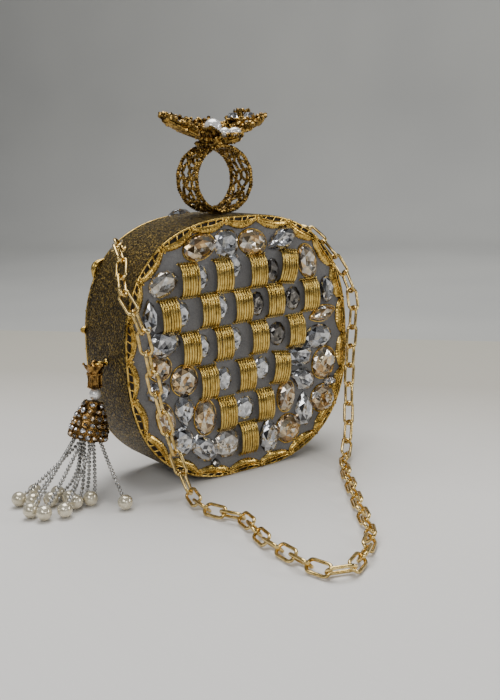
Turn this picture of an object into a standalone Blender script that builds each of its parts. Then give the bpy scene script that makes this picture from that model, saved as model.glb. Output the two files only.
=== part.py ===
"""A round-cornered evening clutch with a ring handle, a jewelled face, a chain and a bead tassel.

Metres, +Z up. The origin is the middle of the flat foot, and the jewelled front faces -Y.
"""
import math

import bmesh
import bpy
from mathutils import Matrix, Vector

MM = 0.001

# Body
WIDTH = 150.0 * MM
HEIGHT = 148.0 * MM
DEPTH = 41.6 * MM
CORNER_POWER = 2.5
FOOT_DROP = 1.0 * MM
OUTLINE_STEPS = 48
GAP = 0.3 * MM

# Layers, from the outside in
WRAP = 0.8 * MM
FRAME = 1.6 * MM
LINING = 0.6 * MM
BOARD = 1.6 * MM
FELT = 1.0 * MM
BORDER = 1.8 * MM
LID_LINING = 2.0 * MM
LID_PLAY = 1.2 * MM

# Leaf border
LEAVES = 22
LEAF_REACH = 7.6 * MM
LEAF_WAIST = 2.6 * MM
LEAF_SLOT = 1.6 * MM
RIM = 1.1 * MM
BORDER_STEPS = 4
LEAF_SHIFT = 3

# Jewels on a face
ARCH_WIDTH = 11.4 * MM
ARCH_HEIGHT = 17.6 * MM
ARCH_RISE = 5.4 * MM
ARCH_STEPS = 4
STONE_RISE = 4.6 * MM
STONE_TABLE = 0.62
STONE_SIDES = {-1: 8, 1: 6}
SEAT = 0.4 * MM
JEWEL_CLEAR = 1.2 * MM

# Hinge of the back panel
HINGE_Z = 1.9 * MM
HINGE_STAND = 0.2 * MM
HINGE_NECK = 0.6 * MM
KNUCKLE_OPEN = 128
KNUCKLE_TURN = 370
KNUCKLE_STEPS = 20
BORE_STEPS = 12
KNUCKLE = 1.6 * MM
PIN = 0.7 * MM
HINGE_LENGTH = 36.0 * MM
LID_KNUCKLE = 12.4 * MM
LEAF_PLATE = 0.5 * MM
LEAF_DEPTH = 12.0 * MM
LID_CLEAR = 1.3 * MM

# Magnets
MAGNET_RADIUS = 3.0 * MM
MAGNET_LENGTH = 4.0 * MM
MAGNET_LID_LENGTH = 1.8 * MM
MAGNET_CLEAR = 0.2 * MM

# Ring handle
RING_X = 2.0 * MM
RING_RADIUS = 18.7 * MM
RING_WALL = 1.9 * MM
RING_WIDTH = 22.8 * MM
RING_RIM = 1.7 * MM
RING_BAR = 1.9 * MM
RING_CELLS = 16
FOOT_RADIUS = 5.0 * MM
FOOT_RISE = 1.0 * MM
FOOT_HEIGHT = 2.4 * MM
SCREW = 1.2 * MM
SCREW_HEAD = 2.3 * MM
HEAD_HEIGHT = 1.2 * MM
SCREW_PAST_NUT = 0.6 * MM
NUT = 2.6 * MM
NUT_HEIGHT = 2.0 * MM

# Flower on the ring: each petal has a bearing in degrees, a reach in millimetres and a slope
FLOWER_RISE = 3.6 * MM
PETALS = ((180, 31, 0.40), (226, 21, 0.42), (268, 15, 0.14), (304, 20, 0.20), (350, 32, 0.32),
          (22, 32, 0.42), (70, 22, 0.50), (112, 20, 0.60), (150, 26, 0.46))
PETAL_NUGGETS = ((0.30, 5.9), (0.53, 5.5), (0.75, 5.1), (0.95, 4.1))
SIDE_NUGGET = 3.9 * MM
PETAL_LONG = 25
CUP_RADIUS = 7.6 * MM
CUP_FLAT = 0.62
STEM = 3.0 * MM
PEARL_LARGE = 5.2 * MM
PEARL_SMALL = 3.4 * MM
CRYSTAL = 3.0 * MM
CRYSTAL_PLACES = ((19.8, 8.0, 12.4), (29.0, 5.2, 12.2))
PEARL_SUNK = 3.6 * MM
OVAL_PLACE = (6.6, -13.4, 3.4)
SMALL_FROM_LARGE = (3.2, -7.4, -3.4)

# Chain
LINK_LENGTH = 14.5 * MM
LINK_WIDTH = 8.0 * MM
LINK_WIRE = 1.8 * MM
LINK_STEPS = 6
LINK_OVERLAP = 0.6 * MM
EYELET = 3.4 * MM
EYELET_WIRE = 0.7 * MM
EYELET_BASE = 2.2 * MM
EYELET_PLATE = 1.1 * MM
FITTED_LINKS = 8

# Tassel
TASSEL_EYELET = 2.8 * MM
TASSEL_Y = -1.0 * MM
TASSEL_Z = 72.9 * MM
LOOP = 1.9 * MM
LOOP_WIRE = 0.6 * MM
TASSEL_LEAN = math.radians(3.4)
CAP_LEAN = math.radians(16.0)
CROWN_LENGTH = 11.2 * MM
CROWN_RADIUS = 5.2 * MM
TASSEL_PEARL = 3.4 * MM
CAP_LENGTH = 20.6 * MM
CAP_RADIUS = 10.2 * MM
CAP_RECESS = 4.0 * MM
STRAND = 2.0 * MM
END_PEARL = 4.1 * MM
STRAND_POINTS = 7
LONG_START = 7.1 * MM
SHORT_START = 3.9 * MM
LONG_SPREAD = 50.0
SHORT_SPREAD = 42.0
STRAND_AIM = 197.0
LOW = 0.3 * MM

WALL = DEPTH / 2
FRAME_IN = WRAP + GAP
LINING_IN = FRAME_IN + FRAME + GAP
HINGE_Y = WALL + GAP + KNUCKLE + HINGE_STAND
LID_FLOOR = HINGE_Z + KNUCKLE + LID_CLEAR
FACE_BACK = WALL + GAP + BOARD + GAP
FACE_FRONT = FACE_BACK + FELT
RING_Z = HEIGHT + FOOT_RISE + RING_RADIUS
FLOWER_Z = RING_Z + RING_RADIUS + FLOWER_RISE

# The layouts below are given for a body of this width and height
LAYOUT_WIDTH = 150.0 * MM
LAYOUT_HEIGHT = 148.0 * MM
LAYOUT_X = WIDTH / LAYOUT_WIDTH
LAYOUT_Z = HEIGHT / LAYOUT_HEIGHT

# Arches: middle of each, seen from the front, with its turn in degrees
ARCHES = [
    (-33.8, 116.7, 0), (-11.8, 116.7, 0), (11.9, 116.7, 0), (33.4, 116.7, -8),
    (-46.8, 97.6, 4), (-22.0, 97.6, 0), (0.3, 97.6, 0), (23.0, 97.6, 0), (48.5, 97.6, 0),
    (-34.0, 77.8, 0), (-12.5, 77.8, 0), (11.8, 77.8, 0), (37.0, 77.8, 0),
    (-23.4, 58.0, 0), (0.5, 58.0, 0), (25.0, 58.0, -8),
    (-12.4, 38.0, 0), (15.2, 38.0, 0), (0.5, 20.4, 0),
]

# Stones: middle, width, height and turn in degrees
STONES = [
    (-22.9, 115.6, 10.4, 14.2, 0), (-0.1, 115.6, 10.4, 14.2, 0), (22.4, 115.6, 10.4, 14.2, 0),
    (-34.2, 96.5, 10.6, 14.2, 0), (-10.9, 96.5, 9.6, 14.2, 0), (11.6, 96.5, 9.6, 14.2, 0),
    (35.8, 96.5, 11.0, 14.2, 0), (-23.3, 77.8, 8.8, 13.4, 0), (-0.4, 77.8, 10.6, 14.2, 0),
    (24.4, 77.8, 11.0, 14.2, 0), (-11.5, 57.0, 10.0, 14.2, 0), (12.6, 57.0, 10.2, 14.2, 0),
    (1.4, 37.0, 12.0, 14.4, 0), (-25.6, 132.8, 19.0, 12.8, 15), (-8.2, 133.2, 14.5, 14.6, 0),
    (9.4, 132.4, 17.4, 13.2, -15), (29.4, 132.0, 19.6, 11.8, 20), (47.4, 117.6, 12.0, 19.0, 15),
    (61.0, 99.2, 9.2, 15.0, 0), (57.6, 85.2, 17.6, 8.8, 12), (53.8, 71.8, 19.0, 13.8, 0),
    (39.8, 62.2, 16.4, 12.0, -5), (57.4, 55.0, 15.6, 18.2, -25), (40.8, 48.0, 18.0, 12.6, -30),
    (55.8, 33.2, 16.4, 15.8, 0), (28.4, 39.4, 11.6, 17.6, -8), (41.2, 29.2, 12.6, 19.6, 0),
    (29.0, 19.4, 15.8, 16.0, 20), (14.9, 18.2, 13.2, 20.0, 0), (-14.2, 19.4, 16.4, 16.6, 0),
    (-29.8, 19.4, 19.0, 12.6, -45), (-44.2, 26.0, 15.2, 15.8, 0), (-28.0, 37.4, 13.0, 19.0, 0),
    (-41.0, 43.4, 11.8, 18.0, 0), (-53.2, 40.8, 9.8, 17.6, 12), (-40.0, 60.6, 15.4, 16.0, 0),
    (-54.8, 69.8, 13.4, 13.2, 0), (-56.6, 56.8, 13.6, 11.8, 0), (-51.2, 82.6, 19.0, 13.8, 0),
    (-58.8, 98.6, 9.4, 17.8, 0), (-49.2, 115.2, 17.8, 12.8, 20), (61.0, 43.2, 8.0, 5.4, 0),
]

# Stones of the back panel that stand past its top edge
BACK_CREST = [(8.6, 144.4, 17.0, 13.0, 0), (-7.0, 143.8, 10.0, 9.4, 0)]

# Chain route over the front and the table, by hand
CHAIN_ROUTE = [
    (-62.6, 3.0, 136.4), (-65.4, -6.0, 134.0), (-67.6, -14.0, 127.4), (-72.4, -21.0, 119.6),
    (-75.4, -29.0, 112.0), (-72.6, -34.0, 104.0), (-69.4, -35.0, 94.0), (-67.8, -35.2, 84.0),
    (-66.2, -35.4, 73.4), (-64.4, -35.6, 62.5), (-62.2, -36.0, 51.0), (-59.6, -36.6, 39.5),
    (-57.2, -38.0, 28.0), (-55.2, -40.4, 18.5), (-54.6, -44.0, 10.4), (-54.8, -50.0, 5.2),
    (-56.5, -58.0, 3.8), (-58.4, -67.0, 3.8), (-57.1, -76.0, 3.8), (-54.0, -85.0, 3.8),
    (-50.6, -93.0, 3.8), (-52.0, -102.0, 3.8), (-56.6, -115.0, 3.8), (-59.4, -128.0, 3.8),
    (-60.0, -141.0, 3.8), (-60.4, -153.0, 3.8), (-60.0, -164.0, 3.8), (-57.4, -173.6, 3.8),
    (-51.0, -177.4, 3.8), (-42.0, -173.4, 3.8), (-31.0, -165.5, 3.8), (-20.0, -156.4, 3.8),
    (-10.5, -143.1, 3.8), (-1.5, -127.9, 3.8), (7.6, -113.2, 3.8), (18.3, -96.2, 3.8),
    (28.8, -79.3, 3.8), (41.6, -61.0, 3.8), (52.0, -50.0, 4.6), (58.4, -44.0, 9.6),
    (62.4, -40.4, 17.7), (65.4, -37.4, 28.7), (67.6, -35.4, 40.0), (69.8, -34.0, 51.1),
    (71.8, -33.0, 62.7), (74.0, -32.2, 74.2), (75.8, -31.6, 84.2), (78.0, -29.4, 92.0),
    (79.4, -24.0, 100.0), (78.2, -20.0, 108.0), (74.8, -17.0, 116.0), (70.6, -13.0, 124.0),
    (66.6, -7.0, 131.0), (62.6, 1.0, 136.4),
]
CHAIN_EYELETS = {"chain_eyelet_left": (-54.6, 8.0), "chain_eyelet_right": (54.6, 6.0)}

# Tassel strands: reach in millimetres and bearing in degrees of each end pearl
LONG_STRANDS = [(40, 168), (34, 178), (43, 197), (42.5, 209.5), (36, 222), (35, 275)]
SHORT_STRANDS = [(31, 152), (19, 170), (26, 188), (19, 206), (24, 224), (19, 243)]


def clear_scene():
    """Empty the file, so the script gives the same result each run."""
    for obj in list(bpy.data.objects):
        bpy.data.objects.remove(obj, do_unlink=True)


def collection(name):
    """A collection of the scene, made when it is first asked for."""
    found = bpy.data.collections.get(name)
    if found is None:
        found = bpy.data.collections.new(name)
        bpy.context.scene.collection.children.link(found)
    return found


def material(name, colour, roughness, metallic=0.0):
    """A Principled material, shared by name."""
    found = bpy.data.materials.get(name)
    if found is None:
        found = bpy.data.materials.new(name)
        found.use_nodes = True
        shader = found.node_tree.nodes["Principled BSDF"]
        shader.inputs["Base Color"].default_value = (*colour, 1.0)
        shader.inputs["Roughness"].default_value = roughness
        shader.inputs["Metallic"].default_value = metallic
        found.diffuse_color = (*colour, 1.0)
    return found


def glitter():
    return material("glitter_fabric", (0.30, 0.22, 0.09), 0.55, 0.3)


def felt():
    return material("felt", (0.20, 0.19, 0.19), 0.95)


def gold():
    return material("gold", (0.80, 0.56, 0.20), 0.28, 1.0)


def antique_gold():
    return material("antique_gold", (0.52, 0.34, 0.12), 0.38, 1.0)


def pearl():
    return material("pearl", (0.86, 0.83, 0.76), 0.18)


def bead():
    return material("seed_bead", (0.82, 0.82, 0.80), 0.22)


def crystal():
    return material("crystal", (0.88, 0.87, 0.85), 0.05)


def board():
    return material("board", (0.45, 0.38, 0.28), 0.8)


def lining():
    return material("lining_cloth", (0.14, 0.10, 0.07), 0.75)


def steel():
    return material("steel", (0.60, 0.60, 0.60), 0.35, 1.0)


def finish(obj, look, smooth=None):
    """Put a piece in the model's collection and give it its material."""
    for owner in list(obj.users_collection):
        owner.objects.unlink(obj)
    collection("clutch_bag").objects.link(obj)
    obj.data.materials.clear()
    obj.data.materials.append(look)
    if smooth is not None:
        obj.data.shade_smooth()
        obj.data.set_sharp_from_angle(angle=math.radians(smooth))
    return obj


def cutter(obj):
    """Keep a cutting shape out of the model."""
    for owner in list(obj.users_collection):
        owner.objects.unlink(obj)
    collection("cutters").objects.link(obj)
    obj.hide_render = True
    obj.display_type = "WIRE"
    return obj


def mesh_object(name, shape):
    """An object made from a bmesh, which it frees."""
    data = bpy.data.meshes.new(name)
    bmesh.ops.recalc_face_normals(shape, faces=shape.faces)
    shape.to_mesh(data)
    shape.free()
    obj = bpy.data.objects.new(name, data)
    bpy.context.scene.collection.objects.link(obj)
    return obj


def curve_to_mesh(obj):
    """Replace a curve by its mesh, with the caps welded on."""
    bpy.context.view_layer.update()
    evaluated = obj.evaluated_get(bpy.context.evaluated_depsgraph_get())
    data = bpy.data.meshes.new_from_object(evaluated)
    shape = bmesh.new()
    shape.from_mesh(data)
    bmesh.ops.remove_doubles(shape, verts=shape.verts, dist=0.00001)
    bmesh.ops.recalc_face_normals(shape, faces=shape.faces)
    shape.to_mesh(data)
    shape.free()
    made = bpy.data.objects.new(obj.name, data)
    made.matrix_world = obj.matrix_world.copy()
    name = obj.name
    bpy.data.objects.remove(obj, do_unlink=True)
    made.name = name
    bpy.context.scene.collection.objects.link(made)
    return made


def cut(obj, tool, operation="DIFFERENCE", self_overlap=False, exact=True):
    """A Boolean between a piece and another mesh object."""
    step = obj.modifiers.new(operation.lower(), "BOOLEAN")
    step.operation = operation
    step.solver = "EXACT" if exact else "MANIFOLD"
    step.object = tool
    step.use_self = self_overlap
    cutter(tool)
    return obj


def settle(obj):
    """Apply a piece's modifiers and keep its largest connected body."""
    bpy.context.view_layer.update()
    evaluated = obj.evaluated_get(bpy.context.evaluated_depsgraph_get())
    data = bpy.data.meshes.new_from_object(evaluated)
    obj.modifiers.clear()
    shape = bmesh.new()
    shape.from_mesh(data)
    left = set(shape.verts)
    largest = []
    while left:
        body = [left.pop()]
        for v in body:
            for edge in v.link_edges:
                other = edge.other_vert(v)
                if other in left:
                    left.remove(other)
                    body.append(other)
        if len(body) > len(largest):
            largest = body
    kept = set(largest)
    bmesh.ops.delete(shape, geom=[v for v in shape.verts if v not in kept], context="VERTS")
    bmesh.ops.recalc_face_normals(shape, faces=shape.faces)
    shape.to_mesh(data)
    shape.free()
    obj.data = data
    return obj


def resample(points, count):
    """Points spaced evenly along a closed line."""
    closed = [Vector(p) for p in points] + [Vector(points[0])]
    lengths = [0.0]
    for a, b in zip(closed, closed[1:]):
        lengths.append(lengths[-1] + (b - a).length)
    even = []
    place = 0
    for k in range(count):
        target = lengths[-1] * k / count
        while lengths[place + 1] < target:
            place += 1
        span = lengths[place + 1] - lengths[place]
        even.append(closed[place].lerp(closed[place + 1], (target - lengths[place]) / span))
    return even


def outline(inset=0.0, floor=None, count=OUTLINE_STEPS):
    """The body's outline as (x, z), moved inward, with a flat foot."""
    half_width = WIDTH / 2 - inset
    half_height = (HEIGHT + FOOT_DROP) / 2 - inset
    middle = (HEIGHT - FOOT_DROP) / 2
    power = 2 / CORNER_POWER
    points = []
    for k in range(720):
        angle = math.pi / 2 + 2 * math.pi * k / 720
        across = math.cos(angle)
        up = math.sin(angle)
        x = half_width * math.copysign(abs(across) ** power, across)
        z = middle + half_height * math.copysign(abs(up) ** power, up)
        points.append((x, z))
    low = inset if floor is None else floor
    return [Vector((p[0], max(p[1], low))) for p in resample(points, count)]


def sheet(name, loops, middle, thickness, plane="XZ"):
    """A flat piece between closed outlines, standing in a plane of the body."""
    curve = bpy.data.curves.new(name, "CURVE")
    curve.dimensions = "2D"
    curve.fill_mode = "BOTH"
    curve.extrude = thickness / 2
    for points in loops:
        spline = curve.splines.new("POLY")
        spline.points.add(len(points) - 1)
        for slot, p in zip(spline.points, points):
            slot.co = (p[0], p[1], 0.0, 1.0)
        spline.use_cyclic_u = True
    obj = bpy.data.objects.new(name, curve)
    bpy.context.scene.collection.objects.link(obj)
    if plane == "XZ":
        obj.rotation_euler = (math.pi / 2, 0, 0)
        obj.location = (0, middle, 0)
    else:
        obj.matrix_world = Matrix(((0, 0, 1, middle), (1, 0, 0, 0), (0, 1, 0, 0), (0, 0, 0, 1)))
    return curve_to_mesh(obj)


def between(name, loops, near, far, plane="XZ"):
    """A flat piece that fills the depth from near to far."""
    return sheet(name, loops, (near + far) / 2, abs(far - near), plane)


def rod(name, radius, start, end, sides=16):
    """A round bar between two points."""
    start, end = sorted((Vector(start), Vector(end)), key=lambda p: p.z)
    shape = bmesh.new()
    bmesh.ops.create_cone(shape, cap_ends=True, segments=sides, radius1=radius, radius2=radius,
                          depth=(end - start).length)
    turn = Vector((0, 0, 1)).rotation_difference(end - start).to_matrix().to_4x4()
    shape.transform(Matrix.Translation((start + end) / 2) @ turn)
    return mesh_object(name, shape)


def ball(name, radius, middle, detail=2, scale=(1, 1, 1), turn=None):
    """A faceted ball or egg."""
    shape = bmesh.new()
    bmesh.ops.create_icosphere(shape, subdivisions=detail, radius=radius)
    spin = Matrix.Identity(4) if turn is None else turn
    shape.transform(Matrix.Translation(middle) @ spin @ Matrix.Diagonal((*scale, 1)))
    return mesh_object(name, shape)


def turned(name, profile, top, axis, steps=12):
    """A profile of (radius, distance down) turned round an axis that starts at top."""
    shape = bmesh.new()
    line = [shape.verts.new((r, 0, -down)) for r, down in profile]
    for a, b in zip(line, line[1:]):
        shape.edges.new((a, b))
    data = bpy.data.meshes.new(name)
    shape.to_mesh(data)
    shape.free()
    obj = bpy.data.objects.new(name, data)
    bpy.context.scene.collection.objects.link(obj)
    screw = obj.modifiers.new("turn", "SCREW")
    screw.steps = steps
    screw.render_steps = steps
    screw.use_merge_vertices = True
    screw.merge_threshold = 0.00001
    turn = Vector((0, 0, -1)).rotation_difference(axis).to_matrix().to_4x4()
    obj.matrix_world = Matrix.Translation(top) @ turn
    return obj


def torus(shape, ring, wire, place, ring_steps=12, wire_steps=6):
    """Add a closed ring to a bmesh."""
    loops = []
    for k in range(ring_steps):
        angle = 2 * math.pi * k / ring_steps
        out = Vector((math.cos(angle), math.sin(angle), 0))
        loop = []
        for j in range(wire_steps):
            turn = 2 * math.pi * (j + 0.5) / wire_steps
            p = out * (ring + wire * math.cos(turn)) + Vector((0, 0, wire * math.sin(turn)))
            loop.append(shape.verts.new(place @ p))
        loops.append(loop)
    for a, b in zip(loops, loops[1:] + loops[:1]):
        for j in range(wire_steps):
            n = (j + 1) % wire_steps
            shape.faces.new((a[j], b[j], b[n], a[n]))


def tube(name, points, diameter, detail=2):
    """A cord along hand-chosen points."""
    curve = bpy.data.curves.new(name, "CURVE")
    curve.dimensions = "3D"
    curve.bevel_depth = diameter / 2
    curve.bevel_resolution = detail
    curve.use_fill_caps = True
    spline = curve.splines.new("POLY")
    spline.points.add(len(points) - 1)
    for slot, p in zip(spline.points, points):
        slot.co = (*p, 1.0)
    obj = bpy.data.objects.new(name, curve)
    bpy.context.scene.collection.objects.link(obj)
    return curve_to_mesh(obj)


def box_shell():
    """The wall, its fabric, the front board and the linings."""
    wrap = between("side_wrap", [outline(), outline(WRAP)], -FACE_FRONT, WALL)
    frame = between("box_frame", [outline(FRAME_IN), outline(FRAME_IN + FRAME)], -WALL, WALL)
    inner = between("box_lining", [outline(LINING_IN), outline(LINING_IN + LINING)],
                    -WALL + LINING + GAP, WALL - GAP)
    front = between("front_board", [outline(FRAME_IN)], -WALL - GAP - BOARD, -WALL - GAP)
    cloth = between("front_lining", [outline(LINING_IN)], -WALL, -WALL + LINING)
    top = Vector((RING_X, 0, HEIGHT))
    for piece in (wrap, frame, inner):
        hole = rod(piece.name + "_screw_hole", SCREW + GAP, top + Vector((0, 0, 5 * MM)),
                   top - Vector((0, 0, 12 * MM)), 12)
        cut(piece, hole, exact=False)
    finish(wrap, glitter(), 30)
    finish(frame, board(), 30)
    finish(inner, lining(), 30)
    finish(front, board(), 30)
    finish(cloth, lining(), 30)


def lid_shell():
    """The hinged back panel: board, edge fabric and lining."""
    back = between("lid_board", [outline(FRAME_IN, LID_FLOOR + WRAP + GAP)],
                   WALL + GAP, WALL + GAP + BOARD)
    edge = between("lid_wrap", [outline(0, LID_FLOOR), outline(WRAP, LID_FLOOR + WRAP)],
                   WALL + GAP, FACE_FRONT - SEAT - GAP)
    inset = LINING_IN + LINING + LID_PLAY
    pad = between("lid_lining", [outline(inset, LID_FLOOR)], WALL - LID_LINING, WALL)
    finish(back, board(), 30)
    finish(edge, glitter(), 30)
    finish(pad, lining(), 30)


def on_face(p, x, z, facing):
    """A jewel's point in its place; facing is -1 on the front and 1 on the back, which is mirrored."""
    return Vector((-facing * (x * MM + p.x) * LAYOUT_X, facing * (FACE_FRONT - p.y),
                   (z * MM + p.z) * LAYOUT_Z))


def loft(shape, rings):
    """Close a stack of rings into a solid."""
    shape.faces.new(rings[0])
    shape.faces.new(list(reversed(rings[-1])))
    count = len(rings[0])
    for low, high in zip(rings, rings[1:]):
        for k in range(count):
            n = (k + 1) % count
            shape.faces.new((low[n], low[k], high[k], high[n]))


def arch(shape, x, z, turn, facing):
    """Add a bowed block that stands on the felt."""
    spin = Matrix.Rotation(-math.radians(turn), 3, "Y")
    rings = []
    for side in (-1, 1):
        ring = []
        for k in range(ARCH_STEPS + 1):
            angle = math.pi * k / ARCH_STEPS
            ring.append((-math.sin(angle) * ARCH_RISE, -math.cos(angle) * ARCH_HEIGHT / 2))
        ring += [(SEAT, ARCH_HEIGHT / 2), (SEAT, -ARCH_HEIGHT / 2)]
        points = [spin @ Vector((side * ARCH_WIDTH / 2, depth, up)) for depth, up in ring]
        rings.append([shape.verts.new(on_face(p, x, z, facing)) for p in points])
    loft(shape, rings)


def stone(shape, x, z, width, height, turn, facing):
    """Add a cut stone: a wide girdle in the felt and a smaller flat table."""
    spin = Matrix.Rotation(-math.radians(turn), 3, "Y")
    sides = STONE_SIDES[facing]
    rings = []
    for scale, rise in ((1.0, -SEAT), (STONE_TABLE, STONE_RISE)):
        ring = []
        for k in range(sides):
            angle = 2 * math.pi * (k + 0.5) / sides
            across = scale * width * MM / 2 * math.cos(angle)
            up = scale * height * MM / 2 * math.sin(angle)
            ring.append(shape.verts.new(on_face(spin @ Vector((across, -rise, up)), x, z, facing)))
        rings.append(ring)
    loft(shape, rings)


def stones(name, places, facing, grow=0.0):
    """A mesh of stones, each larger by grow millimetres all round."""
    shape = bmesh.new()
    for x, z, width, height, turn in places:
        stone(shape, x, z, width + 2 * grow, height + 2 * grow, turn, facing)
    return mesh_object(name, shape)


def face(name, facing):
    """The felt of one face with its arches and stones fused on."""
    floor = None if facing < 0 else LID_FLOOR + WRAP + GAP
    ground = between(name, [outline(FRAME_IN, floor)], facing * FACE_BACK, facing * FACE_FRONT)
    arches = bmesh.new()
    for x, z, turn in ARCHES:
        arch(arches, x, z, turn, facing)
    cut(ground, mesh_object(name + "_arches", arches), "UNION", True)
    cut(ground, stones(name + "_stones", STONES, facing), "UNION", True)
    floor = None if facing < 0 else LID_FLOOR
    room = [outline(-WIDTH / 4, -WIDTH / 4), leaf_line(JEWEL_CLEAR, floor)]
    near = facing * (FACE_FRONT + GAP / 2)
    cut(ground, between(name + "_border_room", room, near, near + facing * 4 * STONE_RISE))
    if facing > 0:
        cut(ground, stones(name + "_crest", BACK_CREST, facing), "UNION", True)
    finish(settle(ground), felt(), 20)


def leaf_row(inset, floor):
    """Even points of the border, inset from the edge, which start where two leaves meet."""
    fine = outline(inset, floor + inset if floor else None, 2 * LEAVES * BORDER_STEPS)
    return fine[LEAF_SHIFT::2] + fine[1:LEAF_SHIFT:2]


def leaf_line(extra, floor):
    """The scalloped inner line of the leaf border, moved inward by extra."""
    shallow = leaf_row(LEAF_WAIST + extra, floor)
    deep = leaf_row(LEAF_REACH + extra, floor)
    line = []
    for k in range(LEAVES * BORDER_STEPS):
        swell = math.sin(math.pi * (k % BORDER_STEPS) / BORDER_STEPS) ** 0.7
        line.append(shallow[k].lerp(deep[k], swell))
    return line


def leaf_slots(floor):
    """The narrow openings between each leaf and the rim."""
    count = LEAVES * BORDER_STEPS
    rim = leaf_row(RIM, floor)
    deep = leaf_row(LEAF_REACH, floor)
    share = LEAF_SLOT / (LEAF_REACH - RIM)
    slots = []
    for first in range(0, count, BORDER_STEPS):
        near = [rim[(first + k) % count] for k in range(1, BORDER_STEPS)]
        middle = range(BORDER_STEPS - 2, 1, -1)
        far = [rim[(first + k) % count].lerp(deep[(first + k) % count], share) for k in middle]
        slots.append(near + far)
    return slots


def border(name, facing):
    """The rim of gold leaves round one face."""
    floor = None if facing < 0 else LID_FLOOR
    near = facing * (FACE_FRONT + GAP)
    loops = [outline(GAP, floor, LEAVES * 2), leaf_line(0.0, floor)] + leaf_slots(floor)
    rim = between(name, loops, near, near + facing * BORDER)
    if facing > 0:
        cut(rim, stones(name + "_crest_room", BACK_CREST, facing, GAP / MM), exact=False)
    finish(settle(rim), gold(), 30)


def arc(radius, start, end, steps, middle=(0.0, 0.0)):
    """Points on an arc, in degrees."""
    points = []
    for k in range(steps + 1):
        angle = math.radians(start + (end - start) * k / steps)
        points.append((middle[0] + radius * math.cos(angle), middle[1] + radius * math.sin(angle)))
    return points


def hinge():
    """Two leaves with knuckles and the pin at the bottom of the back panel."""
    middle = (HINGE_Y, HINGE_Z)
    last = 360 - 360 / BORE_STEPS
    bore = list(reversed(arc(PIN + GAP, 0, last, BORE_STEPS - 1, middle)))
    low = LINING_IN + LINING + GAP
    top = low + LEAF_PLATE
    knuckle = arc(KNUCKLE, KNUCKLE_OPEN, KNUCKLE_OPEN - KNUCKLE_TURN, KNUCKLE_STEPS, middle)[1:-1]
    left = HINGE_Y - KNUCKLE - 2 * HINGE_STAND
    neck = (HINGE_Y - HINGE_NECK, top)
    box_outline = [(left, low), (WALL - LEAF_DEPTH, low), (WALL - LEAF_DEPTH, top), neck] + knuckle
    leaf = between("hinge_leaf_box", [box_outline, bore], -HINGE_LENGTH / 2, HINGE_LENGTH / 2, "YZ")
    room = bmesh.new()
    bmesh.ops.create_cube(room, size=1)
    room.transform(Matrix.Translation((0, WALL + LEAF_DEPTH / 2, low)) @
                   Matrix.Diagonal((LID_KNUCKLE + 2 * GAP, 20 * MM, LEAF_DEPTH, 1)))
    cut(leaf, mesh_object("hinge_room", room), exact=False)
    finish(leaf, steel(), 30)
    back = WALL - LID_LINING - GAP
    lid_outline = [(left, low), (back - LEAF_PLATE, low), (back - LEAF_PLATE, low + LEAF_DEPTH),
                   (back, low + LEAF_DEPTH), (back, top), neck] + knuckle
    half = LID_KNUCKLE / 2
    finish(between("hinge_leaf_lid", [lid_outline, bore], -half, half, "YZ"), steel(), 30)
    pin = rod("hinge_pin", PIN, (-HINGE_LENGTH / 2, HINGE_Y, HINGE_Z),
              (HINGE_LENGTH / 2, HINGE_Y, HINGE_Z), 12)
    finish(pin, steel(), 30)


def magnets():
    """The closing magnet in the box and its partner on the back panel."""
    z = HEIGHT - LINING_IN - LINING - GAP - MAGNET_RADIUS - MAGNET_CLEAR
    face_y = WALL - LID_LINING - GAP
    lid_end = face_y - MAGNET_LID_LENGTH
    finish(rod("magnet_lid", MAGNET_RADIUS, (0, lid_end, z), (0, face_y, z)), steel(), 30)
    finish(rod("magnet_box", MAGNET_RADIUS, (0, lid_end - GAP - MAGNET_LENGTH, z),
               (0, lid_end - GAP, z)), steel(), 30)


def ring_band():
    """The openwork finger ring: a band with rims, a middle bar and two rows of cells."""
    rows = [0.0, RING_RIM, (RING_WIDTH - RING_BAR) / 2, (RING_WIDTH + RING_BAR) / 2,
            RING_WIDTH - RING_RIM, RING_WIDTH]
    radius = RING_RADIUS - RING_WALL / 2
    period = 2 * math.pi / RING_CELLS
    bar = RING_BAR / radius
    angles = []
    for k in range(RING_CELLS):
        angles += [k * period + bar / 2, (k + 1) * period - bar / 2]
    shape = bmesh.new()
    grid = []
    for angle in angles:
        column = []
        for y in rows:
            column.append(shape.verts.new((radius * math.sin(angle), y - RING_WIDTH / 2,
                                           -radius * math.cos(angle))))
        grid.append(column)
    for k in range(len(angles)):
        for j in range(len(rows) - 1):
            cell = k % 2 == 0 and j in (1, 3)
            near_foot = k in (0, len(angles) - 2)
            near_top = k in (len(angles) // 2 - 2, len(angles) // 2)
            if cell and not near_foot and not near_top:
                continue
            n = (k + 1) % len(angles)
            shape.faces.new((grid[k][j], grid[n][j], grid[n][j + 1], grid[k][j + 1]))
    band = mesh_object("ring_band", shape)
    band.location = (RING_X, 0, RING_Z)
    solid = band.modifiers.new("wall", "SOLIDIFY")
    solid.thickness = RING_WALL
    solid.offset = 0
    base = Vector((RING_X, 0, HEIGHT))
    cut(band, rod("ring_screw_hole", SCREW + GAP, base - Vector((0, 0, 2 * MM)),
                  base + Vector((0, 0, 8 * MM)), 12))
    finish(band, antique_gold(), 30)


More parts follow.
